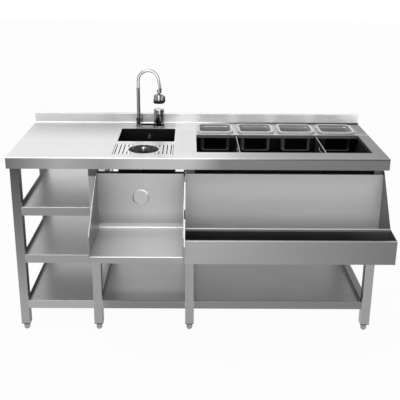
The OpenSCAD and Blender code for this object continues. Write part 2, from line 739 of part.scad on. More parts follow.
// ---------- ice bin front and bottle rail ----------

// Front panel with its folded-back top and bottom edges
module bin_front_panel() color("silver") from_front() along_x(rail_x + [sheet, -sheet]) {
    strip([panel_y + bend_r, leg_front], [panel_z - top_t, panel_z]);
    bend([panel_y + bend_r, panel_z - bend_r], bend_r, top_t, 90);
    strip([panel_y, panel_y + top_t], [rail_z, panel_z - bend_r]);
    strip([panel_y, leg_front], [rail_z, rail_z + top_t]);
}

// Plates that carry the rail, each with a sloped front edge and a flange screwed to its leg
module rail_side_plates() color("dimgray") from_front() {
    trough_back = -rail_reach + top_t + trough_w;
    outline = [[leg_front, rail_z], [leg_front, panel_z + 16], [6, panel_z + 16],
               [trough_back + 2, rail_back_z], [-rail_reach, rail_front_z], [-rail_reach, rail_z]];
    for (x = [rail_x[0], rail_x[1] - sheet]) along_x([x, x + sheet]) polygon(outline);
    block([rail_x[0], rail_x[0] + 34], [leg_front - sheet, leg_front], [rail_z + 10, panel_z - 10]);
    block([rail_x[1] - 34, rail_x[1]], [leg_front - sheet, leg_front], [rail_z + 10, panel_z - 10]);
}

// Trough for a row of bottles: hemmed front and back walls, floor carried back to the panel
module bottle_rail() color("silver") from_front() along_x(rail_x + [sheet, -sheet]) {
    hem = 12;
    front = -rail_reach;
    back = front + top_t + trough_w;
    strip([front, front + top_t], [rail_z + bend_r, rail_front_z - bend_r]);
    bend([front + bend_r, rail_z + bend_r], bend_r, top_t, 180);
    strip([front + bend_r, panel_y - top_t], [rail_z, rail_z + top_t]);
    strip([panel_y - top_t, panel_y], [rail_z, rail_z + 40]);
    bend([front + bend_r, rail_front_z - bend_r], bend_r, top_t, 90);
    strip([front + bend_r, front + hem - bend_r], [rail_front_z - top_t, rail_front_z]);
    bend([front + hem - bend_r, rail_front_z - bend_r], bend_r, top_t, 0);
    strip([front + hem - top_t, front + hem], [rail_front_z - 8, rail_front_z - bend_r]);
    strip([back, back + top_t], [rail_z + top_t, rail_back_z - bend_r]);
    bend([back + bend_r, rail_back_z - bend_r], bend_r, top_t, 90);
    strip([back + bend_r, back + hem - bend_r], [rail_back_z - top_t, rail_back_z]);
    bend([back + hem - bend_r, rail_back_z - bend_r], bend_r, top_t, 0);
    strip([back + hem - top_t, back + hem], [rail_back_z - 8, rail_back_z - bend_r]);
}

// Button-head screws: recess cheeks to the legs, rail side plates to the legs
module panel_screws() color("gainsboro") from_front() {
    head_r = 5;
    for (z = [565, 745]) {
        for (i = [0, 1]) translate([recess_x[i], leg_front + leg_w / 2, z])
            rotate([0, i == 0 ? 90 : -90, 0]) cylinder(r1 = head_r, r2 = 3, h = 3);
        for (x = [rail_x[0] + 20, rail_x[1] - 20])
            translate([x, leg_front - sheet, z]) rotate([90, 0, 0]) cylinder(r1 = head_r, r2 = 3, h = 3);
    }
}

// ---------- tap ----------

// Mixer body: base flange, neck for the swinging arm, barrel, threaded shank below the worktop
module mixer_body() color("gainsboro") from_front() translate([mixer_at[0], mixer_at[1], 0])
    rotate_extrude() {
        strip([12, 16.5], [top_h - 55, top_h]);
        strip([12, 29], [top_h, top_h + 3]);
        strip([12, 20], [top_h, arm_z + 11]);
        strip([12, 25], [arm_z + 10.3, top_h + 26]);
        strip([17.5, 25], [top_h + 26, hub_z - 20]);
        strip([22.5, 25], [hub_z - 21, hub_z - 6]);
    }

// Ceramic disc cartridge with its stem
module mixer_cartridge() color("white") from_front() translate([mixer_at[0], mixer_at[1], 0]) {
    translate([0, 0, top_h + 26]) cylinder(r = 17.3, h = 20);
    translate([0, 0, top_h + 45]) cylinder(r = 8, h = hub_z - 9 - top_h - 45);
}

module mixer_nut() color("goldenrod") from_front() translate([mixer_at[0], mixer_at[1], 0]) {
    ring(25, 16.6, [under_z - 3, under_z]);
    hex_ring(44, 16.6, [under_z - 13, under_z - 3]);
}

// Hot and cold supply tubes that spread below the shank, each with a union nut
module supply_tails() color("gainsboro") from_front() {
    split_z = top_h - 75;
    spread_z = top_h - 130;
    for (s = [-1, 1]) translate([mixer_at[0], mixer_at[1], 0]) {
        near = s * 5.8;
        far = s * 24;
        translate([near, 0, split_z]) cylinder(r = 5, h = 74);
        translate([near, 0, split_z]) sphere(r = 5.2);
        translate([far, 0, spread_z]) rotate([0, atan2(near - far, split_z - spread_z), 0])
            cylinder(r = 5, h = norm([near - far, split_z - spread_z]));
        translate([far, 0, spread_z]) sphere(r = 5.2);
        translate([far, 0, spread_z - 180]) cylinder(r = 5, h = 180);
        translate([far, 0, spread_z - 200]) difference() {
            cylinder(r = 19 / sqrt(3), h = 22, $fn = 6);
            translate([0, 0, -1]) cylinder(r = 7.48, h = 13);
        }
    }
}

// Ball-shaped hub that turns with the handle
module handle_hub() color("gainsboro") from_front() translate([mixer_at[0], mixer_at[1], hub_z])
    difference() {
        union() {
            sphere(r = 21.5, $fn = 64);
            translate([0, 0, -17.8]) cylinder(r = 20.5, h = 9);
        }
        translate([0, 0, -30]) cylinder(r = 25, h = 12.2);
        translate([0, 0, -20]) cylinder(r = 8.05, h = 12);
    }

// Flat-topped cap over the hub with a curved paddle that hangs beside the body
module handle_lever() color("gainsboro") from_front() translate([mixer_at[0], mixer_at[1], hub_z]) {
    cap = [4, 24];
    difference() {
        union() {
            translate([0, 0, cap[0]]) cylinder(r = 25.5, h = cap[1] - cap[0] - 1.5);
            translate([0, 0, cap[1] - 1.5]) cylinder(r1 = 25.5, r2 = 24, h = 1.5);
        }
        sphere(r = 21.9, $fn = 64);
    }
    rotate(lever_turn) intersection() {
        difference() {
            translate([0, 0, -30]) cylinder(r = 31, h = 54);
            translate([0, 0, -31]) cylinder(r = 28, h = 31 + cap[0]);
            cylinder(r = 24, h = 30);
        }
        translate([35, 0, -5]) rotate([0, 90, 0]) linear_extrude(60, center = true) hull() {
            translate([14, 0]) circle(9);
            translate([-15, 0]) circle(12);
        }
        translate([0, -30, -40]) cube([60, 60, 80]);
    }
}

// Swinging arm: collar around the mixer's neck and the horizontal pipe
module swing_arm() color("gainsboro") from_front() difference() {
    union() {
        translate([mixer_at[0], mixer_at[1], 0]) cylinder(r = 26, h = arm_z + 9.8);
        translate([mixer_at[0], mixer_at[1], arm_z]) rotate([0, -90, 0])
            cylinder(r = 9.2, h = mixer_at[0] - riser_x);
    }
    translate([mixer_at[0], mixer_at[1], -1]) cylinder(r = 20.06, h = 1200);
    translate([mixer_at[0], mixer_at[1], -1]) cylinder(r = 40, h = top_h + 4.3);
    translate([mixer_at[0] - 20, mixer_at[1], arm_z]) rotate([0, -90, 0]) cylinder(r = 6, h = 80);
    translate([riser_x, mixer_at[1], top_h]) cylinder(r = 12.05, h = 30);
}

// Elbow valve at the foot of the riser, with its union nut
module riser_valve() color("gainsboro") from_front() translate([riser_x, mixer_at[1], 0]) {
    difference() {
        union() {
            translate([0, 0, top_h + 2]) cylinder(r = 12, h = 32);
            for (z = [1.8, 22.8]) translate([0, 0, top_h + z]) cylinder(r = 13.5, h = 1.4);
            translate([0, 0, valve_z]) rotate([0, 90, 0]) cylinder(r = 6, h = 15.5);
        }
        translate([0, 0, top_h + 10]) cylinder(r = 6.06, h = 40);
    }
    hex_ring(25, 6.06, [top_h + 34, top_h + 43]);
}

// Small quarter-turn lever beside the riser
module valve_lever() color("gray") from_front() translate([riser_x + 15.8, mixer_at[1], valve_z]) {
    rotate([0, 90, 0]) cylinder(r = 6.5, h = 5);
    translate([0, -5, 0]) rotate([90, 0, 90]) linear_extrude(4) {
        strip([1, 9], [0, 26]);
        translate([5, 26]) circle(4.99);
    }
}

module riser_pipe() color("gainsboro") from_front() translate([riser_x, mixer_at[1], 0]) {
    ring(6, 4, [top_h + 14, top_h + 43.3]);
    ring(riser_r, 4, [top_h + 43.3, riser_top - 4]);
    ring(riser_r + 1.2, 4, [riser_top - 4, riser_top]);
}

// Tube section of the gooseneck
module neck_section(r = 7.6) difference() {
    circle(r);
    circle(r - 2);
}

// Gooseneck: short rise, round bend and a leaning free end
module gooseneck() color("gainsboro") from_front() {
    translate([riser_x, mixer_at[1], riser_top]) linear_extrude(neck_mid[1] - riser_top) neck_section();
    translate([neck_mid[0], mixer_at[1], neck_mid[1]]) rotate([90, 0, 0]) intersection() {
        rotate_extrude($fn = 96) translate([neck_r, 0]) neck_section();
        linear_extrude(30, center = true)
            polygon([[0, 0], [90 * cos(neck_lean), 90 * sin(neck_lean)], [90, 90], [-90, 90], [-90, 0]]);
    }
    translate([neck_mid[0] + neck_r * cos(neck_lean), mixer_at[1], neck_mid[1] + neck_r * sin(neck_lean)])
        rotate([0, 180 - neck_lean, 0]) translate([0, 0, -1]) linear_extrude(51) neck_section(7.5);
}

// X and Z of the gooseneck's free end, and the way from there to the ball
neck_end = [neck_mid[0] + neck_r * cos(neck_lean) + 50 * sin(neck_lean),
            neck_mid[1] + neck_r * sin(neck_lean) - 50 * cos(neck_lean)];
ball_way = ball_at - neck_end;

// Nut that holds the ball joint: socket for the neck's end, spherical seat and a flange
module neck_nut() color("gainsboro") from_front() translate([neck_end[0], mixer_at[1], neck_end[1]])
    difference() {
        rotate([0, 90 - atan2(ball_way[1], ball_way[0]), 0]) difference() {
            union() {
                sphere(r = 9.4);
                translate([0, 0, 2]) cylinder(r1 = 9.2, r2 = 10.8, h = 5);
                translate([0, 0, 6]) cylinder(r = 10.8, h = norm(ball_way) - 9);
                translate([0, 0, norm(ball_way) - 6.5]) cylinder(r = 14, h = 3.5);
            }
            translate([0, 0, -9.5]) cylinder(r = 5, h = 28);
            translate([0, 0, norm(ball_way)]) sphere(r = 8.35, $fn = 64);
        }
        rotate([0, 180 - neck_lean, 0]) translate([0, 0, -60]) cylinder(r = 7.55, h = 60);
    }

// Spray head: ball, neck and bell-shaped shell
module spray_head() color("gainsboro") from_front() translate([ball_at[0], mixer_at[1], ball_at[1]]) {
    sphere(r = 8, $fn = 64);
    rotate_extrude() difference() {
        union() {
            strip([0, 5], [-12, 0]);
            polygon([[0, -9], [9, -9], [21, -10.5], [23.6, -13.5], [25.3, -20], [26.2, -28], [26.8, -37.5],
                     [0, -37.5]]);
        }
        strip([0, 22], [-38, -24]);
    }
}

// Black face ring with its spray holes and the selector tab at the side
module spray_ring() color([0.05, 0.05, 0.06]) from_front() translate([ball_at[0], mixer_at[1], ball_at[1]]) {
    difference() {
        rotate_extrude() {
            strip([0, 27.3], [-52, -37.8]);
            strip([0, 21.6], [-37.9, -30]);
            strip([0, 14], [-55, -51]);
        }
        for (r = [7, 11, 18, 23], a = [0:30:330]) rotate(a) translate([r, 0, -56]) cylinder(r = 0.9, h = 9);
    }
    difference() {
        translate([25, -5, -47]) cube([6.4, 10, 29]);
        translate([0, 0, -37.8]) cylinder(r = 27.2, h = 40);
    }
}

// ---------- nodes ----------

worktop();
worktop_channels();
top_rails();
legs();
leg_inserts();
end_rail();
side_shelves();
lower_shelves();
foot(0);  // foot_1
foot(1);  // foot_2
foot(2);  // foot_3
foot(3);  // foot_4
foot(4);  // foot_5
foot(5);  // foot_6
foot(6);  // foot_7
foot(7);  // foot_8
sink_bowl();
sink_overflow();
sink_waste();
waste_nut();
sink_basket();
rinser_tray();
rinser_grille();
rinser_cup();
rinser_star();
rinser_spring();
rinser_valve();
bin_liner();
bin_insulation();
bin_casing();
bin_drain();
divider_guides();
false_floor();
divider(divider_x[0]);  // divider_left
divider(divider_x[1]);  // divider_right
pan(0);  // pan_1
pan(1);  // pan_2
pan(2);  // pan_3
pan(3);  // pan_4
recess_shell();
recess_cheeks();
port_cover();
bin_front_panel();
rail_side_plates();
bottle_rail();
panel_screws();
mixer_body();
mixer_cartridge();
mixer_nut();
supply_tails();
handle_hub();
handle_lever();
swing_arm();
riser_valve();
valve_lever();
riser_pipe();
gooseneck();
neck_nut();
spray_head();
spray_ring();
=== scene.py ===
"""Looks of a free-standing steel bar counter: sink with spray tap, glass rinser, ice well with pans,
work recess, bottle rail and open shelves.

All lengths are metres in the row frame: X along the counter, Y to the back, Z up from the floor.
"""

import logging
import math
from dataclasses import dataclass
from enum import Enum
from typing import Any, Optional, Sequence, Union

import bmesh
import bpy
from mathutils import Matrix, Vector


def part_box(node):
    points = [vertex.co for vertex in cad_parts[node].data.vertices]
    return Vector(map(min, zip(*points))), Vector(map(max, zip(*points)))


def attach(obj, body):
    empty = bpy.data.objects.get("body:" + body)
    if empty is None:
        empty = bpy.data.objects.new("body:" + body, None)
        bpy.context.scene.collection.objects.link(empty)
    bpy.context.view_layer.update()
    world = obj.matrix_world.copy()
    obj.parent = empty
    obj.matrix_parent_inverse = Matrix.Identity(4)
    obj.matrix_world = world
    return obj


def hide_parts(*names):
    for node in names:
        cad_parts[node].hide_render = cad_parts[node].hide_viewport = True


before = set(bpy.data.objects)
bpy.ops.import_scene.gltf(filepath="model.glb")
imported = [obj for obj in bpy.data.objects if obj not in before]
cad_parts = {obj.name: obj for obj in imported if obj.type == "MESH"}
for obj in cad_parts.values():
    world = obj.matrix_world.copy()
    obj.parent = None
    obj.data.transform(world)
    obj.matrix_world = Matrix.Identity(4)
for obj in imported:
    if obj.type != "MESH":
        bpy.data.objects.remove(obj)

log = logging.getLogger("bar_counter")
Term = Union["Wire", float]
Tone = Union[float, Sequence[float]]
Span = tuple[float, float]
Triple = tuple[float, float, float]
EVEN: Triple = (1.0, 1.0, 1.0)


# ---------- shader language ----------


class Wire:
    """A shader socket that builds Math nodes when it stands in an expression."""

    def __init__(self, graph: "Graph", socket: bpy.types.NodeSocket) -> None:
        """Keeps the socket and the graph it belongs to."""
        self.graph = graph
        self.socket = socket

    def _join(self, operation: str, left: Term, right: Term) -> "Wire":
        """Adds one Math node.

        Args:
            operation: the Math node's operation.
            left: first value or wire.
            right: second value or wire.

        Returns:
            The wire that carries the result.
        """
        return self.graph.node("ShaderNodeMath", {"operation": operation}, {0: left, 1: right})[0]

    def __add__(self, other: Term) -> "Wire":
        """Sum."""
        return self._join("ADD", self, other)

    __radd__ = __add__

    def __sub__(self, other: Term) -> "Wire":
        """Difference."""
        return self._join("SUBTRACT", self, other)

    def __rsub__(self, other: Term) -> "Wire":
        """Difference from a number."""
        return self._join("SUBTRACT", other, self)

    def __mul__(self, other: Term) -> "Wire":
        """Product."""
        return self._join("MULTIPLY", self, other)

    __rmul__ = __mul__

    def __pow__(self, other: Term) -> "Wire":
        """Power."""
        return self._join("POWER", self, other)

    def at_most(self, other: Term) -> "Wire":
        """Lower of the two values."""
        return self._join("MINIMUM", self, other)

    def at_least(self, other: Term) -> "Wire":
        """Higher of the two values."""
        return self._join("MAXIMUM", self, other)


class Outlets:
    """Output sockets of one shader node, by name or number."""

    def __init__(self, graph: "Graph", node: bpy.types.Node) -> None:
        """Keeps the node and the graph it belongs to."""
        self.graph = graph
        self.node = node

    def __getitem__(self, key: Union[int, str]) -> Wire:
        """Wire of the output with this name or number."""
        return Wire(self.graph, self.node.outputs[key])


class Graph:
    """Node tree of a material or of the world."""

    COLOUR_LOW, COLOUR_HIGH, COLOUR_OUT = 6, 7, 2

    def __init__(self, tree: bpy.types.NodeTree) -> None:
        """Empties the tree and starts with nothing in it."""
        self.tree = tree
        tree.nodes.clear()

    def node(self, kind: str, settings: Optional[dict[str, Any]] = None,
             inputs: Optional[dict[Any, Any]] = None) -> Outlets:
        """Adds a node of any kind.

        Args:
            kind: the node's type name.
            settings: its properties; "stops" is a colour ramp's list of (place, grey or colour).
            inputs: socket name or number to a value or a wire.

        Returns:
            The node's outputs.
        """
        made = self.tree.nodes.new(kind)
        for key, value in (settings or {}).items():
            if key == "stops":
                self._stops(made.color_ramp, value)
            else:
                setattr(made, key, value)
        for key, value in (inputs or {}).items():
            if isinstance(value, Wire):
                self.tree.links.new(value.socket, made.inputs[key])
            else:
                made.inputs[key].default_value = value
        return Outlets(self, made)

    @staticmethod
    def _stops(ramp: bpy.types.ColorRamp, stops: Sequence[tuple[float, Tone]]) -> None:
        """Sets a colour ramp's stops.

        Args:
            ramp: the ramp.
            stops: place and grey level or colour of each stop.
        """
        while len(ramp.elements) < len(stops):
            ramp.elements.new(0.5)
        for element, (place, tone) in zip(ramp.elements, stops):
            element.position = place
            element.color = rgba(tone)

    def mix(self, factor: Term, low: Union[Term, Tone], high: Union[Term, Tone]) -> Wire:
        """Colour between two colours.

        Args:
            factor: value or wire from 0 to 1.
            low: colour or wire at 0.
            high: colour or wire at 1.

        Returns:
            The mixed colour's wire.
        """
        return self.node("ShaderNodeMix", {"data_type": "RGBA", "clamp_factor": True},
                         {"Factor": factor,
                          self.COLOUR_LOW: low if isinstance(low, Wire) else rgba(low),
                          self.COLOUR_HIGH: high if isinstance(high, Wire) else rgba(high)})[self.COLOUR_OUT]

    def place(self, scale: Triple = EVEN, centre: Triple = (0.0, 0.0, 0.0)) -> Wire:
        """Object coordinates, stretched.

        Args:
            scale: factor along each axis, in turns per metre.
            centre: offset added after scaling.

        Returns:
            The coordinate's wire.
        """
        where = self.node("ShaderNodeTexCoord")["Object"]
        return self.node("ShaderNodeMapping", None,
                         {"Vector": where, "Location": centre, "Scale": scale})["Vector"]

    def noise(self, where: Wire, scale: float, detail: float = 2.0, rough: float = 0.5) -> Wire:
        """Noise from 0 to 1.

        Args:
            where: coordinate wire.
            scale: turns per unit of the coordinate.
            detail: octaves.
            rough: weight of the finer octaves.

        Returns:
            The noise value's wire.
        """
        return self.node("ShaderNodeTexNoise", None,
                         {"Vector": where, "Scale": scale, "Detail": detail, "Roughness": rough})[0]

    def ramp(self, value: Wire, stops: Sequence[tuple[float, Tone]]) -> Wire:
        """Value passed through a colour ramp.

        Args:
            value: wire to read.
            stops: place and tone of each stop.

        Returns:
            The ramp's colour wire.
        """
        return self.node("ShaderNodeValToRGB", {"stops": stops}, {0: value})[0]

    def step(self, value: Wire, low: float, high: float) -> Wire:
        """Smooth step from 0 at low to 1 at high; low may be the greater one.

        Args:
            value: wire to read.
            low: value at which the step is 0.
            high: value at which it is 1.

        Returns:
            The step's wire.
        """
        return self.node("ShaderNodeMapRange", {"interpolation_type": "SMOOTHSTEP"},
                         {"Value": value, "From Min": low, "From Max": high})[0]

    def shaded(self, colour: Wire, painted_light: Sequence["Shade"]) -> Wire:
        """Colour times the factors of a sheet's painted shade and painted light.

        Args:
            colour: colour wire.
            painted_light: the boxes of painted shade and light.

        Returns:
            The shaded colour's wire.
        """
        for shade in painted_light:
            colour = self.node("ShaderNodeVectorMath", {"operation": "SCALE"},
                               {0: colour, "Scale": shade.factor(self)})[0]
        return colour

    def bump(self, height: Wire, strength: float, distance: float = 0.0002) -> Wire:
        """Normal that follows a height pattern.

        Args:
            height: the pattern's wire, from 0 to 1.
            strength: weight of the relief.
            distance: depth of the relief, in metres.

        Returns:
            The normal's wire.
        """
        return self.node("ShaderNodeBump", None,
                         {"Strength": strength, "Distance": distance, "Height": height})["Normal"]

    def edge_mask(self, radius: float, gain: float) -> Wire:
        """Mask that is 1 along sharp edges and 0 on flat sheet.

        Args:
            radius: width of the band beside an edge, in metres.
            gain: how fast the band saturates.

        Returns:
            The mask's wire.
        """
        round_normal = self.node("ShaderNodeBevel", {"samples": 4}, {"Radius": radius})[0]
        flat_normal = self.node("ShaderNodeNewGeometry")["Normal"]
        agree = self.node("ShaderNodeVectorMath", {"operation": "DOT_PRODUCT"},
                          {0: round_normal, 1: flat_normal})["Value"]
        return ((1.0 - agree) * gain).at_most(1.0).at_least(0.0)

    def surface(self, **sockets: Any) -> None:
        """Ends a material with a Principled shader.

        Args:
            **sockets: socket names with underscores for spaces, and their values or wires.
        """
        shader = self.node("ShaderNodeBsdfPrincipled", None,
                           {name.replace("_", " "): value for name, value in sockets.items()})
        self.node("ShaderNodeOutputMaterial", None, {"Surface": shader["BSDF"]})


def rgba(tone: Tone) -> tuple[float, float, float, float]:
    """Colour with alpha from a grey level or a colour of three numbers."""
    if isinstance(tone, (int, float)):
        return (tone, tone, tone, 1.0)
    return (*tuple(tone)[:3], 1.0)


def new_material(name: str) -> tuple[bpy.types.Material, Graph]:
    """Empty material with its graph.

    Args:
        name: the material's name.

    Returns:
        The material and its graph.
    """
    material = bpy.data.materials.new(name)
    material.use_nodes = True
    return material, Graph(material.node_tree)


# ---------- finishes ----------


class Grain(Enum):
    """Direction in which a sheet was brushed, as stretch factors of the pattern."""

    ALONG_X = (1.0, 60.0, 60.0)
    ALONG_Y = (60.0, 1.0, 60.0)
    ALONG_Z = (60.0, 60.0, 1.0)


@dataclass(frozen=True)
class Shade:
    """Painted shade and painted light on part of a sheet: a soft-edged box with tones along an axis or round
    a bend.

    Each stop is a place and a tone factor, x, y and z are the box's spans, and its edges blur over soft
    to either side.
    """

    stops: tuple[Span, ...]
    x: Optional[Span] = None
    y: Optional[Span] = None
    z: Optional[Span] = None
    axis: int = 0
    soft: float = 0.004
    bend: Optional[Span] = None

    def way(self, places: Outlets) -> Wire:
        """Coordinate that the gradient runs along: one axis, or the distance from a bend's centre in X and Z.

        Args:
            places: separated object coordinates.

        Returns:
            The coordinate's wire.
        """
        if self.bend is None:
            return places[self.axis]
        across = places["X"] - self.bend[0]
        above = (places["Z"] - self.bend[1]).at_least(0.0)
        return (across * across + above * above) ** 0.5

    def factor(self, graph: Graph) -> Term:
        """Factor of the painted shade or light over the sheet.

        Args:
            graph: the material's graph.

        Returns:
            The factor, 1 outside the box.
        """
        where = graph.node("ShaderNodeTexCoord")["Object"]
        places = graph.node("ShaderNodeSeparateXYZ", None, {0: where})
        inside: Optional[Wire] = None
        for axis, extent in enumerate((self.x, self.y, self.z)):
            if extent is None:
                continue
            within = (graph.step(places[axis], extent[0] - self.soft, extent[0] + self.soft)
                      * graph.step(places[axis], extent[1] + self.soft, extent[1] - self.soft))
            inside = within if inside is None else inside * within
        drift: Term = self.stops[0][1]
        if len(self.stops) > 1:
            first = self.stops[0][0]
            reach = self.stops[-1][0] - first
            along = (self.way(places) - first) * (1.0 / reach)
            drift = graph.ramp(along, [((place - first) / reach, tone) for place, tone in self.stops])
        if inside is None:
            return drift * 1.0  # the product turns the ramp's grey into a number
        return inside * (drift - 1.0) + 1.0


def painted_patch(tone: float, **extent: Any) -> Shade:
    """Box of painted shade or light of one tone.

    Args:
        tone: factor inside the box.
        **extent: the box's spans x, y and z, and soft, how far its edges blur.

    Returns:
        The shade.
    """
    return Shade(((0.0, tone),), **extent)


@dataclass(frozen=True)
class BrushedSteel:
    """Satin stainless sheet: fine brushing lines, faint broad bands, painted highlights along its edges and
    folds.

    A depth is a pattern's part in the tone and a gloss its part in the roughness; line_relief is the
    strength and depth of the lines' bump.
    """

    name: str
    tone: float = 0.58
    roughness: float = 0.36
    metal: float = 0.82
    grain: Grain = Grain.ALONG_X
    contrast: float = 0.28
    line_scale: float = 26.0
    line_depth: float = 0.10
    line_gloss: float = 0.16
    line_relief: Span = (0.16, 0.0004)
    band_scale: float = 2.6
    band_depth: float = 0.08
    smudge_scale: float = 5.5
    smudge_gloss: float = 0.14
    edge_gain: float = 2.2
    edge_width: float = 0.0016
    edge_highlight_tone: float = 0.9
    edge_highlight_weight: float = 0.8
    # boxes of painted shade and painted light that scale the colour
    painted_light: tuple[Shade, ...] = ()

    def material(self) -> bpy.types.Material:
        """Builds the material."""
        material, graph = new_material(self.name)
        lines = graph.noise(graph.place(self.grain.value), self.line_scale, 3.0, 0.62)
        broad = tuple(0.05 * stretch + 0.6 for stretch in self.grain.value)
        bands = graph.noise(graph.place(broad), self.band_scale)
        smudge = graph.noise(graph.place(EVEN, (3.1, 1.7, 0.4)), self.smudge_scale, 3.0, 0.55)
        level = (lines - 0.5) * self.line_depth * 2.0 + (bands - 0.5) * self.band_depth * 2.0 + 0.5
        low, high = self.tone * (1.0 - self.contrast), min(1.0, self.tone * (1.0 + self.contrast))
        # painted highlight: along sharp edges and folds, convex or concave, the colour turns towards a bright
        # tone
        edge = graph.edge_mask(self.edge_width, self.edge_gain) * self.edge_highlight_weight
        colour = graph.mix(edge, graph.mix(level, low, high), self.edge_highlight_tone)
        gloss = (smudge - 0.5) * self.smudge_gloss + (lines - 0.5) * self.line_gloss + self.roughness
        graph.surface(Base_Color=graph.shaded(colour, self.painted_light), Metallic=self.metal, Roughness=gloss,
                      Normal=graph.bump(lines, *self.line_relief))
        return material


@dataclass(frozen=True)
class PolishedPlating:
    """Bright plating with a faint orange peel and fine wipe marks that run upright."""

    name: str
    tone: float = 0.8
    roughness: float = 0.1
    hue: Triple = (1.0, 1.0, 1.02)
    wipe_marks: Triple = (90.0, 90.0, 12.0)
    wipe_gloss: float = 0.1
    peel_scale: float = 420.0
    # boxes of painted shade and painted reflection that scale the colour
    painted_light: tuple[Shade, ...] = ()

    def material(self) -> bpy.types.Material:
        """Builds the material."""
        material, graph = new_material(self.name)
        peel = graph.noise(graph.place(), self.peel_scale)
        wipe = graph.noise(graph.place(self.wipe_marks), 3.0, 3.0, 0.6)
        colour = graph.mix(wipe, tuple(self.tone * 0.9 * h for h in self.hue),
                           tuple(min(1.0, self.tone * 1.08 * h) for h in self.hue))
        graph.surface(Base_Color=graph.shaded(colour, self.painted_light), Metallic=1.0,
                      Roughness=wipe * self.wipe_gloss + self.roughness, Normal=graph.bump(peel, 0.05))
        return material


@dataclass(frozen=True)
class MouldedPlastic:
    """Moulded plastic or rubber with a fine grain."""

    name: str
    colour: Triple = (0.015, 0.015, 0.017)
    roughness: float = 0.42
    shine: float = 0.2
    grain_scale: float = 900.0
    cloud_scale: float = 30.0

    def material(self) -> bpy.types.Material:
        """Builds the material."""
        material, graph = new_material(self.name)
        grain = graph.noise(graph.place(), self.grain_scale, 2.0, 0.6)
        cloud = graph.noise(graph.place(), self.cloud_scale)
        tone = graph.mix(cloud, tuple(0.8 * c for c in self.colour),
                         tuple(min(1.0, 1.3 * c) for c in self.colour))
        graph.surface(Base_Color=tone, Roughness=cloud * 0.12 + self.roughness,
                      Specular_IOR_Level=self.shine, Normal=graph.bump(grain, 0.2))
        return material


@dataclass(frozen=True)
class TurnedBrass:
    """Brass with turning rings around the vertical axis."""

    name: str = "turned_brass"
    colour: Triple = (0.72, 0.5, 0.22)
    ring_marks: Triple = (4.0, 4.0, 1200.0)
    stain_scale: float = 60.0

    def material(self) -> bpy.types.Material:
        """Builds the material."""
        material, graph = new_material(self.name)
        rings = graph.noise(graph.place(self.ring_marks), 1.0)
        stain = graph.noise(graph.place(), self.stain_scale, 3.0, 0.6)
        colour = graph.mix(stain, tuple(0.6 * c for c in self.colour), self.colour)
        graph.surface(Base_Color=colour, Metallic=1.0, Roughness=stain * 0.2 + 0.22,
                      Normal=graph.bump(rings, 0.2))
        return material


@dataclass(frozen=True)
class ZincSheet:
    """Zinc-coated sheet with its crystal spangle."""

    name: str
    # boxes of painted shade that scale the colour
    painted_light: tuple[Shade, ...] = ()
    flake_scale: float = 70.0

    def material(self) -> bpy.types.Material:
        """Builds the material."""
        material, graph = new_material(self.name)
        flakes = graph.node("ShaderNodeTexVoronoi", {"feature": "F1"},
                            {"Vector": graph.place(), "Scale": self.flake_scale})["Color"]
        grey = graph.node("ShaderNodeSeparateColor", None, {0: flakes})[0]
        colour = graph.shaded(graph.mix(grey, 0.3, 0.5), self.painted_light)
        graph.surface(Base_Color=colour, Metallic=0.9, Roughness=grey * 0.2 + 0.38)
        return material


@dataclass(frozen=True)
class FoamBoard:
    """Cut rigid foam with open cells."""

    name: str = "foam_board"
    cell_scale: float = 500.0

    def material(self) -> bpy.types.Material:
        """Builds the material."""
        material, graph = new_material(self.name)
        cells = graph.node("ShaderNodeTexVoronoi", {"feature": "F1"},
                           {"Vector": graph.place(), "Scale": self.cell_scale})["Distance"]
        colour = graph.mix(cells, (0.72, 0.62, 0.36), (0.9, 0.82, 0.58))
        graph.surface(Base_Color=colour, Roughness=0.9, Normal=graph.bump(cells, 0.5, 0.001))
        return material


def dress(finish: bpy.types.Material, nodes: Sequence[str]) -> None:
    """Gives CAD nodes a material.

    Args:
        finish: the material.
        nodes: names of the nodes.
    """
    for name in nodes:
        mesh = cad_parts[name].data
        mesh.materials.clear()
        mesh.materials.append(finish)
    log.info("dressed %s with %s", ", ".join(nodes), finish.name)


# ---------- modelling ----------


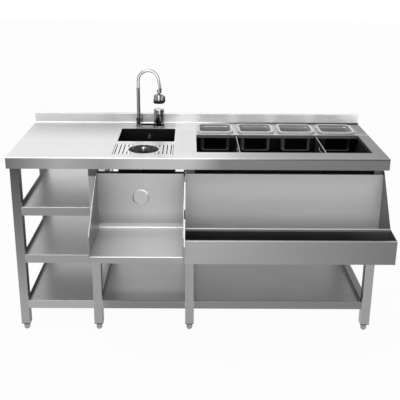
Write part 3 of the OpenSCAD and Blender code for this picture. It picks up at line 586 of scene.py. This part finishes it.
class Form:
    """Mesh under construction that ends as one piece of the counter."""

    def __init__(self) -> None:
        """Starts with an empty bmesh."""
        self.mesh = bmesh.new()

    def lathe(self, profile: Sequence[Span], at: Triple, steps: int) -> list[bmesh.types.BMVert]:
        """Spins a profile round a vertical axis.

        Args:
            profile: radius and height of each point, from the top down.
            at: the axis and the height that the profile's heights count from.
            steps: faces round the axis.

        Returns:
            The new vertices.
        """
        before = set(self.mesh.verts)
        chain = [self.mesh.verts.new((r, 0.0, z)) for r, z in profile]
        edges = [self.mesh.edges.new(pair) for pair in zip(chain, chain[1:])]
        bmesh.ops.spin(self.mesh, geom=chain + edges, cent=(0.0, 0.0, 0.0), axis=(0.0, 0.0, 1.0),
                       angle=math.tau, steps=steps, use_merge=True)
        fresh = [v for v in self.mesh.verts if v not in before]
        bmesh.ops.remove_doubles(self.mesh, verts=fresh, dist=1e-6)
        fresh = [v for v in self.mesh.verts if v not in before]
        bmesh.ops.translate(self.mesh, verts=fresh, vec=at)
        return fresh

    def rod(self, start: Triple, end: Triple, radius: float, sides: int) -> None:
        """Adds a round rod between two points.

        Args:
            start: one end.
            end: other end.
            radius: the rod's radius.
            sides: faces round it.
        """
        way = Vector(end) - Vector(start)
        turn = way.to_track_quat("Z", "Y").to_matrix().to_4x4()
        middle = Matrix.Translation((Vector(start) + Vector(end)) / 2)
        bmesh.ops.create_cone(self.mesh, cap_ends=True, segments=sides, radius1=radius, radius2=radius,
                              depth=way.length, matrix=middle @ turn)

    def piece(self, name: str, body: str, finish: bpy.types.Material,
              stands_for: Sequence[str] = ()) -> bpy.types.Object:
        """Turns the mesh into a smooth-shaded piece.

        Args:
            name: the piece's name.
            body: the CAD body it rides on.
            finish: its material.
            stands_for: CAD nodes that it replaces.

        Returns:
            The new object.
        """
        bmesh.ops.recalc_face_normals(self.mesh, faces=self.mesh.faces)
        for face in self.mesh.faces:
            face.smooth = True
        data = bpy.data.meshes.new(name)
        self.mesh.to_mesh(data)
        self.mesh.free()
        data.materials.append(finish)
        made = bpy.data.objects.new(name, data)
        bpy.context.scene.collection.objects.link(made)
        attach(made, body)
        if stands_for:
            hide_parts(*stands_for)
        log.info("made %s with %d faces", name, len(data.polygons))
        return made


# ---------- studio ----------


@dataclass(frozen=True)
class Softbox:
    """Rectangular lamp: its place, the point it faces, its width and height, and its power in watts."""

    name: str
    at: Triple
    aim: Triple
    size: Span
    watts: float

    def hang(self) -> None:
        """Adds the lamp to the scene, out of the camera's sight."""
        data = bpy.data.lights.new(self.name, "AREA")
        data.shape = "RECTANGLE"
        data.size, data.size_y = self.size
        data.energy = self.watts
        lamp = bpy.data.objects.new(self.name, data)
        turn = (Vector(self.aim) - Vector(self.at)).to_track_quat("-Z", "Y").to_matrix().to_4x4()
        lamp.matrix_world = Matrix.Translation(self.at) @ turn
        lamp.visible_camera = False
        bpy.context.scene.collection.objects.link(lamp)


@dataclass
class Studio:
    """Floor, soft light and the photograph's camera, with its angles in degrees.

    floor_veil is how much of the floor's shading the white covers; the sky's strength is sky_level and what
    sky_rise adds upwards and sky_back to the rear, but never under sky_least.
    """

    focal_px: float = 706.6
    frame_px: float = 400.0
    sensor_mm: float = 36.0
    centre_px: Span = (195.6, 183.9)
    eye: Triple = (-0.0335, -3.0704, 1.7154)
    pitch: float = 18.699
    yaw: float = 0.462
    roll: float = 0.443
    floor_size: float = 14.0
    floor_veil: float = 0.96
    sky_level: float = 0.36
    sky_rise: float = 0.36
    sky_back: float = 0.14
    sky_least: float = 0.16
    lamps: tuple[Softbox, ...] = (
        Softbox("overhead", (-0.7, -0.5, 3.4), (-0.3, 0.1, 0.6), (2.6, 1.8), 52.0),
        Softbox("front_fill", (0.6, -4.4, 1.5), (0.2, -0.2, 0.6), (3.2, 2.0), 38.0))

    def camera(self) -> None:
        """Places the camera with its lens, turn and shift."""
        data = bpy.data.cameras.new("view")
        data.sensor_width = self.sensor_mm
        data.lens = self.sensor_mm * self.focal_px / self.frame_px
        data.shift_x = (self.frame_px / 2 - self.centre_px[0]) / self.frame_px
        data.shift_y = (self.centre_px[1] - self.frame_px / 2) / self.frame_px
        data.clip_end = 60.0
        pitch, yaw, roll = (math.radians(a) for a in (self.pitch, self.yaw, self.roll))
        ahead = Vector((math.sin(yaw) * math.cos(pitch), math.cos(yaw) * math.cos(pitch),
                        -math.sin(pitch)))
        side = Vector((math.cos(yaw), -math.sin(yaw), 0.0))
        top = side.cross(ahead)
        right = math.cos(roll) * side + math.sin(roll) * top
        up = -math.sin(roll) * side + math.cos(roll) * top
        turn = Matrix((right, up, -ahead)).transposed().to_4x4()
        camera = bpy.data.objects.new("view", data)
        camera.matrix_world = Matrix.Translation(self.eye) @ turn
        bpy.context.scene.collection.objects.link(camera)
        bpy.context.scene.camera = camera

    def floor(self) -> None:
        """Lays a pale floor that keeps the counter's soft shadow."""
        mesh = bpy.data.meshes.new("floor")
        form = bmesh.new()
        bmesh.ops.create_grid(form, x_segments=1, y_segments=1, size=self.floor_size)
        form.to_mesh(mesh)
        form.free()
        plane = bpy.data.objects.new("floor", mesh)
        bpy.context.scene.collection.objects.link(plane)
        material, graph = new_material("pale_floor")
        path = graph.node("ShaderNodeLightPath")
        cloud = graph.noise(graph.place(), 0.8)
        paint = graph.node("ShaderNodeBsdfDiffuse", None, {"Color": graph.mix(cloud, 0.70, 0.74)})["BSDF"]
        white = graph.node("ShaderNodeEmission", None, {"Color": rgba(1.0), "Strength": 1.0})[0]
        seen = self.shown(path) * self.floor_veil
        both = graph.node("ShaderNodeMixShader", None, {0: seen, 1: paint, 2: white})[0]
        graph.node("ShaderNodeOutputMaterial", None, {"Surface": both})
        mesh.materials.append(material)

    @staticmethod
    def shown(path: Outlets) -> Wire:
        """Mask of the rays that see the white background: the camera's, off metal and through glass."""
        return (path["Is Camera Ray"] + path["Is Glossy Ray"] + path["Is Transmission Ray"]).at_most(1.0)

    def sky(self) -> None:
        """Surrounds the counter with soft studio light, white where the camera looks."""
        world = bpy.data.worlds.new("studio")
        bpy.context.scene.world = world
        world.use_nodes = True
        graph = Graph(world.node_tree)
        path = graph.node("ShaderNodeLightPath")
        way = graph.node("ShaderNodeTexCoord")["Generated"]
        parts = graph.node("ShaderNodeSeparateXYZ", None, {0: way})
        level = parts["Y"] * self.sky_back + parts["Z"] * self.sky_rise + self.sky_level
        soft = graph.node("ShaderNodeBackground", None,
                          {"Color": rgba(1.0), "Strength": level.at_least(self.sky_least)})[0]
        white = graph.node("ShaderNodeBackground", None, {"Color": rgba(1.0), "Strength": 1.0})[0]
        both = graph.node("ShaderNodeMixShader", None, {0: self.shown(path), 1: soft, 2: white})[0]
        graph.node("ShaderNodeOutputWorld", None, {"Surface": both})

    def build(self) -> None:
        """Sets up the whole studio."""
        bpy.context.scene.view_settings.view_transform = "Standard"
        self.camera()
        self.floor()
        self.sky()
        for lamp in self.lamps:
            lamp.hang()
        log.info("studio ready")


# ---------- the counter's sub-assemblies ----------


@dataclass
class Worktop:
    """Folded top, its channels and the rear upstand.

    top, fold and ledge are the heights of the plate and of its front fold and the depth of the strip between
    well and pans; end is half the top's length, and past a place beyond all its edges.
    """

    top: Span = (0.8475, 0.853)
    fold: Span = (0.795, 0.8475)
    ledge: Span = (0.226, 0.2495)
    end: float = 0.825
    past: float = 0.9

    def painted_light(self) -> tuple[Shade, ...]:
        """Painted shade and painted reflections of the front fold, the plate, the rims of the cut-outs and
        the upstand.
        """
        # painted shade: fold and plate darken to the right and rear, three soft dark patches, dark rim walls,
        # a dimmed join with the upstand, and the upstand's tone varies along X
        end, past = self.end, self.past
        apron = ((-end, 0.20), (-0.60, 0.47), (-0.42, 0.37), (-0.27, 0.57), (-0.03, 0.58), (0.10, 0.25),
                 (end, 0.20))
        front_edge = ((0.02, 1.0), (0.22, 0.55), (0.40, 0.35), (end, 0.22))
        rear_join = ((-end, 0.9), (0.0, 0.75), (0.12, 0.5), (0.22, 0.22), (end, 0.14))
        plate = ((-0.05, 1.0), (0.10, 0.82), (0.20, 0.48), (0.32, 0.34), (0.50, 0.25), (0.82, 0.14))
        rear = ((-0.05, 1.0), (0.10, 0.80), (0.20, 0.58), (0.40, 0.48), (0.60, 0.42), (0.76, 0.26),
                (0.82, 0.18))
        strip = ((0.0, 0.85), (0.3, 0.80), (0.5, 0.70), (0.8, 0.36))
        left_part = ((0.12, 1.0), (0.30, 0.80), (0.45, 0.70))
        rims = ((0.834, 0.30), (0.842, 0.30), (0.845, 0.14), (0.8475, 0.14))
        upstand = ((-end, 0.80), (-0.52, 0.76), (-0.43, 0.62), (-0.34, 0.72), (0.0, 0.78), (end, 0.95))
        return (
            Shade(apron, y=(-0.2, -0.170), z=self.fold),
            Shade(front_edge, x=(0.02, past), y=(-0.2, -0.1705), z=(0.8435, 0.853), soft=0.0008),
            Shade(rear_join, y=(0.440, 0.470), z=(0.840, 0.8565), soft=0.0015),
            Shade(plate, x=(-0.05, past), y=(-0.170, self.ledge[0]), z=self.top),
            Shade(rear, x=(-0.05, past), y=(self.ledge[1], 0.46), z=self.top),
            Shade(strip, x=(-0.01, past), y=self.ledge, z=self.top),
            Shade(left_part, x=(-past, -0.11), y=(0.1, 0.47), z=self.top, axis=1),
            painted_patch(0.70, x=(-0.64, -0.36), y=(0.26, 0.6), z=self.top, soft=0.1),
            painted_patch(0.80, x=(-0.10, -0.02), y=(-0.08, 0.32), z=self.top, soft=0.03),
            painted_patch(0.25, x=(0.782, past), y=(0.30, 0.43), z=self.top, soft=0.02),
            Shade(rims, y=(-0.16, 0.42), z=(0.82, 0.8475), axis=2),
            Shade(upstand, z=(0.853, 0.91)),
        )

    def build(self) -> None:
        """Dresses the top."""
        dress(BrushedSteel("worktop_steel", tone=0.90, painted_light=self.painted_light()).material(), ["worktop"])
        dress(ZincSheet("channel_zinc").material(), ["worktop_channels"])


@dataclass
class Underframe:
    """Legs by the X of their middles, rails, inserts, feet and the weld beads at the shelves' front lips."""

    leg_lines: tuple[float, ...] = (-0.796, -0.457, -0.034, 0.787)
    half_leg: float = 0.02
    shelf_tops: Span = (0.615, 0.386)
    bead: float = 0.0008
    bead_span: Span = (0.039, 0.003)
    bead_reach: float = 0.8

    def build(self) -> None:
        """Dresses the frame."""
        # painted shade: the legs' right faces are darkened, the end leg grows darker upwards, and a painted
        # shadow lies on the legs just under the top
        outer = self.leg_lines[0]
        rights = [line + self.half_leg for line in self.leg_lines]
        sides = tuple(painted_patch(0.15, x=(x - 0.001, x + 0.003), soft=0.0008) for x in rights)
        end_leg_shade = Shade(((0.15, 1.0), (0.35, 0.70), (0.60, 0.42), (0.80, 0.22)),
                        x=(outer - 0.03, outer + 0.03), axis=2)
        shadow_under_top = painted_patch(0.25, x=(-0.5, 0.9), y=(-0.16, -0.10), z=(0.76, 0.81))
        upright = BrushedSteel("leg_steel", tone=0.36, grain=Grain.ALONG_Z,
                               painted_light=sides + (end_leg_shade, shadow_under_top))
        dress(upright.material(), ["legs"])
        # painted shade: the top rails and the end rail are set dark where they lie in shade
        dress(BrushedSteel("rail_steel", tone=0.04).material(), ["top_rails"])
        dress(BrushedSteel("end_rail_steel", tone=0.16, grain=Grain.ALONG_Y).material(), ["end_rail"])
        dress(MouldedPlastic("insert_plastic", (0.05, 0.05, 0.055)).material(), ["leg_inserts"])
        feet = PolishedPlating("foot_plating", tone=0.32, roughness=0.3).material()
        dress(feet, [f"foot_{i}" for i in range(1, 9)])
        self.weld_beads()

    def weld_beads(self) -> None:
        """Lays thin beads where the shelf lips meet the front legs."""
        beads = Form()
        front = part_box("legs")[0].y
        rows = [(level, (0, 1)) for level in self.shelf_tops]
        rows.append((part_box("lower_shelves")[1].z - 0.02, (0, 1, 2, 3)))
        for level, legs in rows:
            for leg in legs:
                for face in (-self.half_leg, self.half_leg):
                    x = self.leg_lines[leg] + face
                    beside_recess = leg == 1 and face > 0 and level in self.shelf_tops
                    if abs(x) > self.bead_reach or beside_recess:
                        continue
                    beads.rod((x, front, level - self.bead_span[0]), (x, front, level - self.bead_span[1]),
                              self.bead, 8)
        beads.piece("weld_beads", "counter", PolishedPlating("bead_steel", 0.62, 0.3).material())


@dataclass
class Shelving:
    """Side and lower shelves, with the X of their up-turned left edges and the Y of their front lips, where
    painted shade lies.
    """

    left_edge: Span = (-0.80, -0.7738)
    inner_edge: Span = (-0.441, -0.4348)
    behind_lip: Span = (-0.145, 0.5)
    lip: Span = (-0.2, -0.148)

    def build(self) -> None:
        """Dresses the shelves."""
        # painted shade: the up-turned edges' inner faces are nearly black, the front lips and the lower side
        # shelf are darker, and the lower shelves darken to the right and towards the front
        side = BrushedSteel("shelf_steel", tone=0.66, painted_light=(
            painted_patch(0.10, x=self.left_edge, y=self.behind_lip, soft=0.0008),
            painted_patch(0.43, y=self.lip, z=(0.56, 0.6125), soft=0.001),
            painted_patch(0.52, y=self.lip, z=(0.33, 0.3835), soft=0.001),
            painted_patch(0.72, z=(0.3835, 0.42), soft=0.001)))
        dress(side.material(), ["side_shelves"])
        low = BrushedSteel("low_shelf_steel", tone=0.42, painted_light=(
            painted_patch(0.12, x=self.left_edge, y=self.behind_lip, soft=0.0008),
            painted_patch(0.12, x=self.inner_edge, y=self.behind_lip, soft=0.0008),
            Shade(((-0.44, 1.0), (-0.43, 0.85), (-0.03, 0.80), (-0.01, 0.58), (0.8, 0.50))),
            painted_patch(0.65, x=(-0.437, -0.03), y=(-0.2, -0.06), soft=0.05)))
        dress(low.material(), ["lower_shelves"])


@dataclass
class SinkUnit:
    """Bowl, overflow, waste and basket."""

    def build(self) -> None:
        """Dresses the sink."""
        dress(BrushedSteel("bowl_steel", tone=0.02, roughness=0.4, metal=0.8).material(), ["sink_bowl"])
        plated = PolishedPlating("sink_plating", tone=0.5, roughness=0.2).material()
        dress(plated, ["sink_overflow", "sink_waste", "sink_basket"])
        dress(MouldedPlastic("nut_plastic", (0.03, 0.03, 0.03)).material(), ["waste_nut"])


@dataclass
class RinserUnit:
    """Drip pan, grille, cup, star and valve of the glass rinser; axis is the star's X."""

    axis: float = -0.242

    def build(self) -> None:
        """Dresses the rinser."""
        dress(BrushedSteel("drip_pan_steel", tone=0.12, roughness=0.4).material(), ["rinser_tray"])
        dress(BrushedSteel("grille_steel", tone=0.86, roughness=0.34).material(), ["rinser_grille"])
        dress(MouldedPlastic("cup_plastic", (0.012, 0.012, 0.013), 0.35).material(), ["rinser_cup"])
        # painted reflection: a bright stripe across the star, darker to either side and in front and behind
        reflection_stripes = ((-0.050, 0.10), (-0.012, 0.06), (-0.004, 0.9), (0.004, 0.9), (0.012, 0.06), (0.050, 0.10))
        star = PolishedPlating("star_plating", tone=0.7, roughness=0.2, painted_light=(
            Shade(tuple((self.axis + side, tone) for side, tone in reflection_stripes)),
            painted_patch(0.15, y=(-0.10, -0.046)), painted_patch(0.15, y=(-0.022, 0.03))))
        dress(star.material(), ["rinser_star"])
        dress(PolishedPlating("spring_steel", tone=0.5, roughness=0.25).material(), ["rinser_spring"])
        # painted shade: the valve's brass is set nearly black where it sits in shade under the top
        dress(TurnedBrass("valve_brass_painted_dark", (0.05, 0.04, 0.03)).material(), ["rinser_valve"])


@dataclass
class IceWell:
    """Liner, foam, casing, floor, dividers and the garnish pans.

    flange is the width of a pan's rim and flange_drop its depth; the last field holds the tones of the
    painted highlights along the pans' folds, one per pan.
    """

    flange: float = 0.011
    flange_drop: float = 0.006
    fold_highlights: tuple[float, ...] = (0.35, 0.55, 0.55, 0.12)

    def build(self) -> None:
        """Dresses the well."""
        # painted shade: the liner, the false floor and the guides are set nearly black, as the well's inside
        # lies in shade
        dress(BrushedSteel("liner_steel", tone=0.05, roughness=0.4, metal=0.7).material(), ["bin_liner"])
        dress(FoamBoard().material(), ["bin_insulation"])
        # painted shadow on the casing's front wall below the top
        casing = ZincSheet("casing_zinc", (painted_patch(0.05, y=(-0.2, -0.095), z=(0.70, 0.86)),))
        dress(casing.material(), ["bin_casing"])
        dress(PolishedPlating("drain_plating", tone=0.5, roughness=0.2).material(), ["bin_drain"])
        dark = BrushedSteel("well_fitting_steel", tone=0.07, roughness=0.36, metal=0.8)
        dress(dark.material(), ["false_floor", "divider_guides"])
        # painted highlight along the dividers' top edges; their sheet is set dark as painted shade
        dividers = BrushedSteel("divider_steel", tone=0.1, roughness=0.3, edge_gain=6.0, edge_width=0.003,
                                edge_highlight_tone=1.0)
        dress(dividers.material(), ["divider_left", "divider_right"])
        for number, fold_highlight in enumerate(self.fold_highlights, 1):
            self.pan(number, fold_highlight)

    def pan(self, number: int, fold_highlight: float) -> None:
        """Dresses one garnish pan with painted light: painted shade on its front, painted highlights along
        the folds at its bottom and sides, painted shade and reflection inside, a painted shadow line under
        the rim and a dimmed rim.

        Args:
            number: the pan's number, from the left.
            fold_highlight: tone of the painted highlights along its folds.
        """
        low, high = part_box(f"pan_{number}")
        left, right = low.x + self.flange, high.x - self.flange
        front, rim = low.y + self.flange, high.z - self.flange_drop
        wall = (front - 0.02, front + 0.0195)
        inside = ((low.z, 0.2), (rim - 0.03, 0.45), (rim - 0.012, 0.75), (rim, 0.6))
        # painted light: shade on the front wall, highlights along the folds, shade and reflection inside, a
        # shadow line under the rim
        painted_light = (
            painted_patch(0.02, x=(left + 0.021, right - 0.021), y=wall, z=(low.z + 0.006, rim - 0.004), soft=0.0035),
            painted_patch(fold_highlight, x=(left - 0.02, right + 0.02), y=wall, z=(low.z + 0.012, rim - 0.004), soft=0.002),
            Shade(inside, x=(left + 0.002, right - 0.002), y=(front + 0.020, high.y - 0.012),
                  z=(low.z - 0.01, rim), axis=2, soft=0.001),
            painted_patch(0.12, y=(front - 0.02, high.y + 0.01), z=(rim - 0.0035, rim - 0.001), soft=0.0008),
            painted_patch(0.68, z=(rim + 0.002, high.z + 0.01), soft=0.001))
        steel = BrushedSteel(f"pan_steel_{number}", tone=0.74, roughness=0.26, metal=0.4, edge_width=0.003,
                             painted_light=painted_light)
        dress(steel.material(), [f"pan_{number}"])


@dataclass
class WorkRecess:
    """Folded recess with its cable port, and its cheeks with the hems along their slopes."""

    hem: float = 0.0012
    hem_aside: float = 0.0006
    hem_sides: int = 10
    slope_foot: float = 0.610
    slope_top: Span = (-0.208, 0.779)
    back: Span = (-0.17, -0.12)

    def build(self) -> None:
        """Dresses the recess."""
        # painted shade and painted light: the back panel darkens to the left and towards its foot, the shelf
        # lightens to the right, and its lip and the slit above the bin panel are darkened
        panel = ((-0.43, 0.55), (-0.34, 0.62), (-0.22, 0.70), (-0.06, 0.66))
        shell = BrushedSteel("recess_steel", tone=0.68, edge_highlight_tone=0.8, painted_light=(
            Shade(panel, y=self.back, z=(0.545, 0.80)),
            Shade(((0.53, 0.70), (0.565, 0.80), (0.60, 1.0)), y=self.back, z=(0.53, 0.60), axis=2),
            Shade(((-0.43, 0.85), (-0.25, 1.0), (-0.06, 1.1)), y=(-0.4735, -0.17), z=(0.51, 0.54)),
            painted_patch(0.50, y=(-0.48, -0.4735), z=(0.49, 0.5225), soft=0.001),
            painted_patch(0.10, y=(-0.156, -0.1), z=(0.70, 0.80), soft=0.001)))
        dress(shell.material(), ["recess_shell"])
        # painted shade: the cheeks' sheet is set dark
        dress(BrushedSteel("cheek_steel", tone=0.2, grain=Grain.ALONG_Z).material(), ["recess_cheeks"])
        dress(BrushedSteel("port_steel", tone=0.50, edge_highlight_tone=0.7).material(), ["port_cover"])
        self.hems()

    def hems(self) -> None:
        """Rolls a thin hem along each cheek's slope and front edge."""
        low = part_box("recess_cheeks")[0]
        front = low.y + self.hem
        hems = Form()
        for side in (low.x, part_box("recess_shell")[1].x):
            x = side + self.hem_aside
            hems.rod((x, front, low.z + self.hem), (x, front, self.slope_foot), self.hem, self.hem_sides)
            hems.rod((x, front, self.slope_foot), (x, *self.slope_top), self.hem, self.hem_sides)
        hems.piece("cheek_hems", "counter", PolishedPlating("hem_steel", 0.5, 0.3).material())


@dataclass
class BottleRail:
    """Ice bin front, rail side plates and the bottle trough."""

    def build(self) -> None:
        """Dresses the rail."""
        # painted light: the bin panel gets lighter towards its foot; painted shade: the trough's lip darkens
        # to the right and its inside is dark, lightening at the right end
        panel = BrushedSteel("panel_steel", tone=0.72, metal=0.3, painted_light=(
            Shade(((0.58, 1.30), (0.65, 1.05), (0.76, 0.72)), axis=2),))
        dress(panel.material(), ["bin_front_panel"])
        lip = ((-0.05, 0.87), (0.35, 0.63), (0.80, 0.41))
        inside = ((-0.05, 0.18), (0.62, 0.24), (0.80, 0.60))
        trough = BrushedSteel("trough_steel", tone=0.45, painted_light=(
            Shade(lip, y=(-0.46, -0.4452), soft=0.0005),
            Shade(inside, y=(-0.4440, -0.1), z=(0.47, 0.582), soft=0.0005)))
        dress(trough.material(), ["bottle_rail"])
        plates = BrushedSteel("side_plate_steel", tone=0.22, grain=Grain.ALONG_Z)
        dress(plates.material(), ["rail_side_plates"])
        dress(PolishedPlating("screw_plating", tone=0.7, roughness=0.2).material(), ["panel_screws"])


@dataclass
class Tap:
    """Mixer, swinging arm, riser, gooseneck and spray head.

    ball is the middle of the head's joint, riser the X of the standpipe and neck_bend the X and Z of the
    gooseneck's bend; the flutes are dents in the head's grip.
    """

    ball: Triple = (-0.191, 0.385, 1.022)
    ball_radius: float = 0.008
    riser: float = -0.292
    neck_bend: Span = (-0.242, 1.080)
    cap_foot: float = 0.9390
    flutes: int = 12
    flute_depth: float = 0.055
    flute_span: Span = (-0.0336, -0.0200)

    def reflection_streaks(self, name: str, middle: float, radius: float, tones: Sequence[float]) -> bpy.types.Material:
        """Plating with painted reflections: the upright dark and bright bands that a round form shows in a
        lit room.

        Args:
            name: the material's name.
            middle: X of the form's axis.
            radius: the form's radius.
            tones: factors from its left side to its right one.

        Returns:
            The material.
        """
        gap = 2.0 * radius / (len(tones) - 1)
        stops = tuple((middle - radius + i * gap, tone) for i, tone in enumerate(tones))
        return PolishedPlating(name, tone=0.66, painted_light=(Shade(stops),)).material()

    def build(self) -> None:
        """Dresses the tap."""
        axis = self.ball[0]
        # painted reflections: each chrome part of the tap carries fixed dark and bright bands
        barrel = self.reflection_streaks("barrel_chrome", axis, 0.026,
                              (0.1, 0.3, 0.1, 0.35, 0.1, 0.25, 0.5, 0.12, 0.1, 0.3, 0.15))
        dress(barrel, ["mixer_body", "handle_hub"])
        # painted reflections on the lever's cap, along its side and across its top
        cap_side_reflections = ((axis - 0.026, 0.12), (axis - 0.019, 0.5), (axis - 0.012, 0.15), (axis - 0.004, 0.45),
                    (axis + 0.004, 0.7), (axis + 0.012, 0.15), (axis + 0.020, 0.45), (axis + 0.026, 0.1))
        cap_top_reflections = ((axis - 0.026, 0.45), (axis - 0.01, 0.7), (axis, 0.5), (axis + 0.012, 0.75),
                   (axis + 0.026, 0.5))
        cap = PolishedPlating("cap_chrome", tone=0.8, roughness=0.14, painted_light=(
            Shade(cap_side_reflections, z=(0.88, self.cap_foot), soft=0.0005),
            Shade(cap_top_reflections, z=(self.cap_foot, 0.95), soft=0.0005)))
        dress(cap.material(), ["handle_lever"])
        # painted reflection: bright top and bottom edges on the arm with a dark band between
        arm_reflections = ((0.8530, 0.60), (0.8555, 0.75), (0.8570, 0.03), (0.8665, 0.02), (0.8690, 0.50),
                     (0.8728, 1.0))
        arm = PolishedPlating("arm_chrome", tone=0.8, painted_light=(Shade(arm_reflections, axis=2),))
        dress(arm.material(), ["swing_arm"])
        riser = self.reflection_streaks("riser_chrome", self.riser, 0.0135,
                             (0.1, 0.3, 0.08, 0.2, 0.75, 0.25, 0.08, 0.35, 0.9, 0.3, 0.1))
        dress(riser, ["riser_valve", "valve_lever", "riser_pipe"])
        # painted reflection: light and dark bands along the gooseneck, by distance from its bend
        neck_reflections = ((0.0420, 0.30), (0.0440, 0.15), (0.0460, 0.65), (0.0490, 0.95), (0.0520, 0.85),
                      (0.0540, 0.15), (0.0560, 0.60), (0.0580, 0.35))
        neck = PolishedPlating("neck_chrome", tone=0.85, roughness=0.12,
                               painted_light=(Shade(neck_reflections, bend=self.neck_bend),))
        dress(neck.material(), ["gooseneck"])
        bell = self.reflection_streaks("bell_chrome", axis, 0.027,
                            (0.08, 0.45, 0.15, 0.75, 0.1, 0.3, 0.85, 0.3, 0.08, 0.5, 0.7, 0.1, 0.3))
        dress(bell, ["neck_nut", "spray_head"])
        dress(MouldedPlastic("spray_rubber", (0.012, 0.012, 0.012)).material(), ["spray_ring"])
        dress(MouldedPlastic("cartridge_ceramic", (0.7, 0.7, 0.68), 0.25).material(), ["mixer_cartridge"])
        dress(TurnedBrass("nut_brass").material(), ["mixer_nut"])
        dress(PolishedPlating("tube_plating", tone=0.62, roughness=0.22).material(), ["supply_tails"])
        self.spray_bell(bell)

    def spray_bell(self, chrome: bpy.types.Material) -> None:
        """Turns the spray head with its ball, seam rings and grip flutes.

        Args:
            chrome: the tap's plating.
        """
        ball = [(self.ball_radius * math.sin(a), self.ball_radius * math.cos(a))
                for a in (math.radians(d) for d in range(0, 141, 14))]
        bell = [(0.005, -0.0085), (0.0088, -0.0090), (0.0092, -0.0102), (0.0205, -0.0106), (0.0222, -0.0120),
                (0.0236, -0.0136), (0.0243, -0.0152), (0.0249, -0.0180), (0.0253, -0.0202), (0.0256, -0.0225),
                (0.0260, -0.0262), (0.0263, -0.0300), (0.0265, -0.0335), (0.0257, -0.0340), (0.0257, -0.0346),
                (0.0266, -0.0351), (0.0267, -0.0374), (0.0215, -0.0374), (0.0215, -0.0250), (0.0, -0.0250)]
        head = Form()
        fresh = head.lathe(ball + bell, self.ball, steps=96)
        for vert in fresh:
            out = Vector((vert.co.x - self.ball[0], vert.co.y - self.ball[1]))
            depth = vert.co.z - self.ball[2]
            if self.flute_span[0] < depth < self.flute_span[1] and out.length > 0.02:
                wave = 0.5 + 0.5 * math.cos(self.flutes * math.atan2(out.y, out.x))
                pull = 1.0 - self.flute_depth * wave ** 6
                vert.co.x = self.ball[0] + out.x * pull
                vert.co.y = self.ball[1] + out.y * pull
        head.piece("spray_bell", "head", chrome, ["spray_head"])


def main() -> None:
    """Builds every sub-assembly in order and logs each one."""
    logging.basicConfig(level=logging.INFO, format="%(name)s: %(message)s")
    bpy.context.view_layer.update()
    Studio().build()
    for part in (Worktop(), Underframe(), Shelving(), SinkUnit(), RinserUnit(), IceWell(), WorkRecess(),
                 BottleRail(), Tap()):
        part.build()
        log.info("built %s", type(part).__name__)


if __name__ == "__main__":
    main()
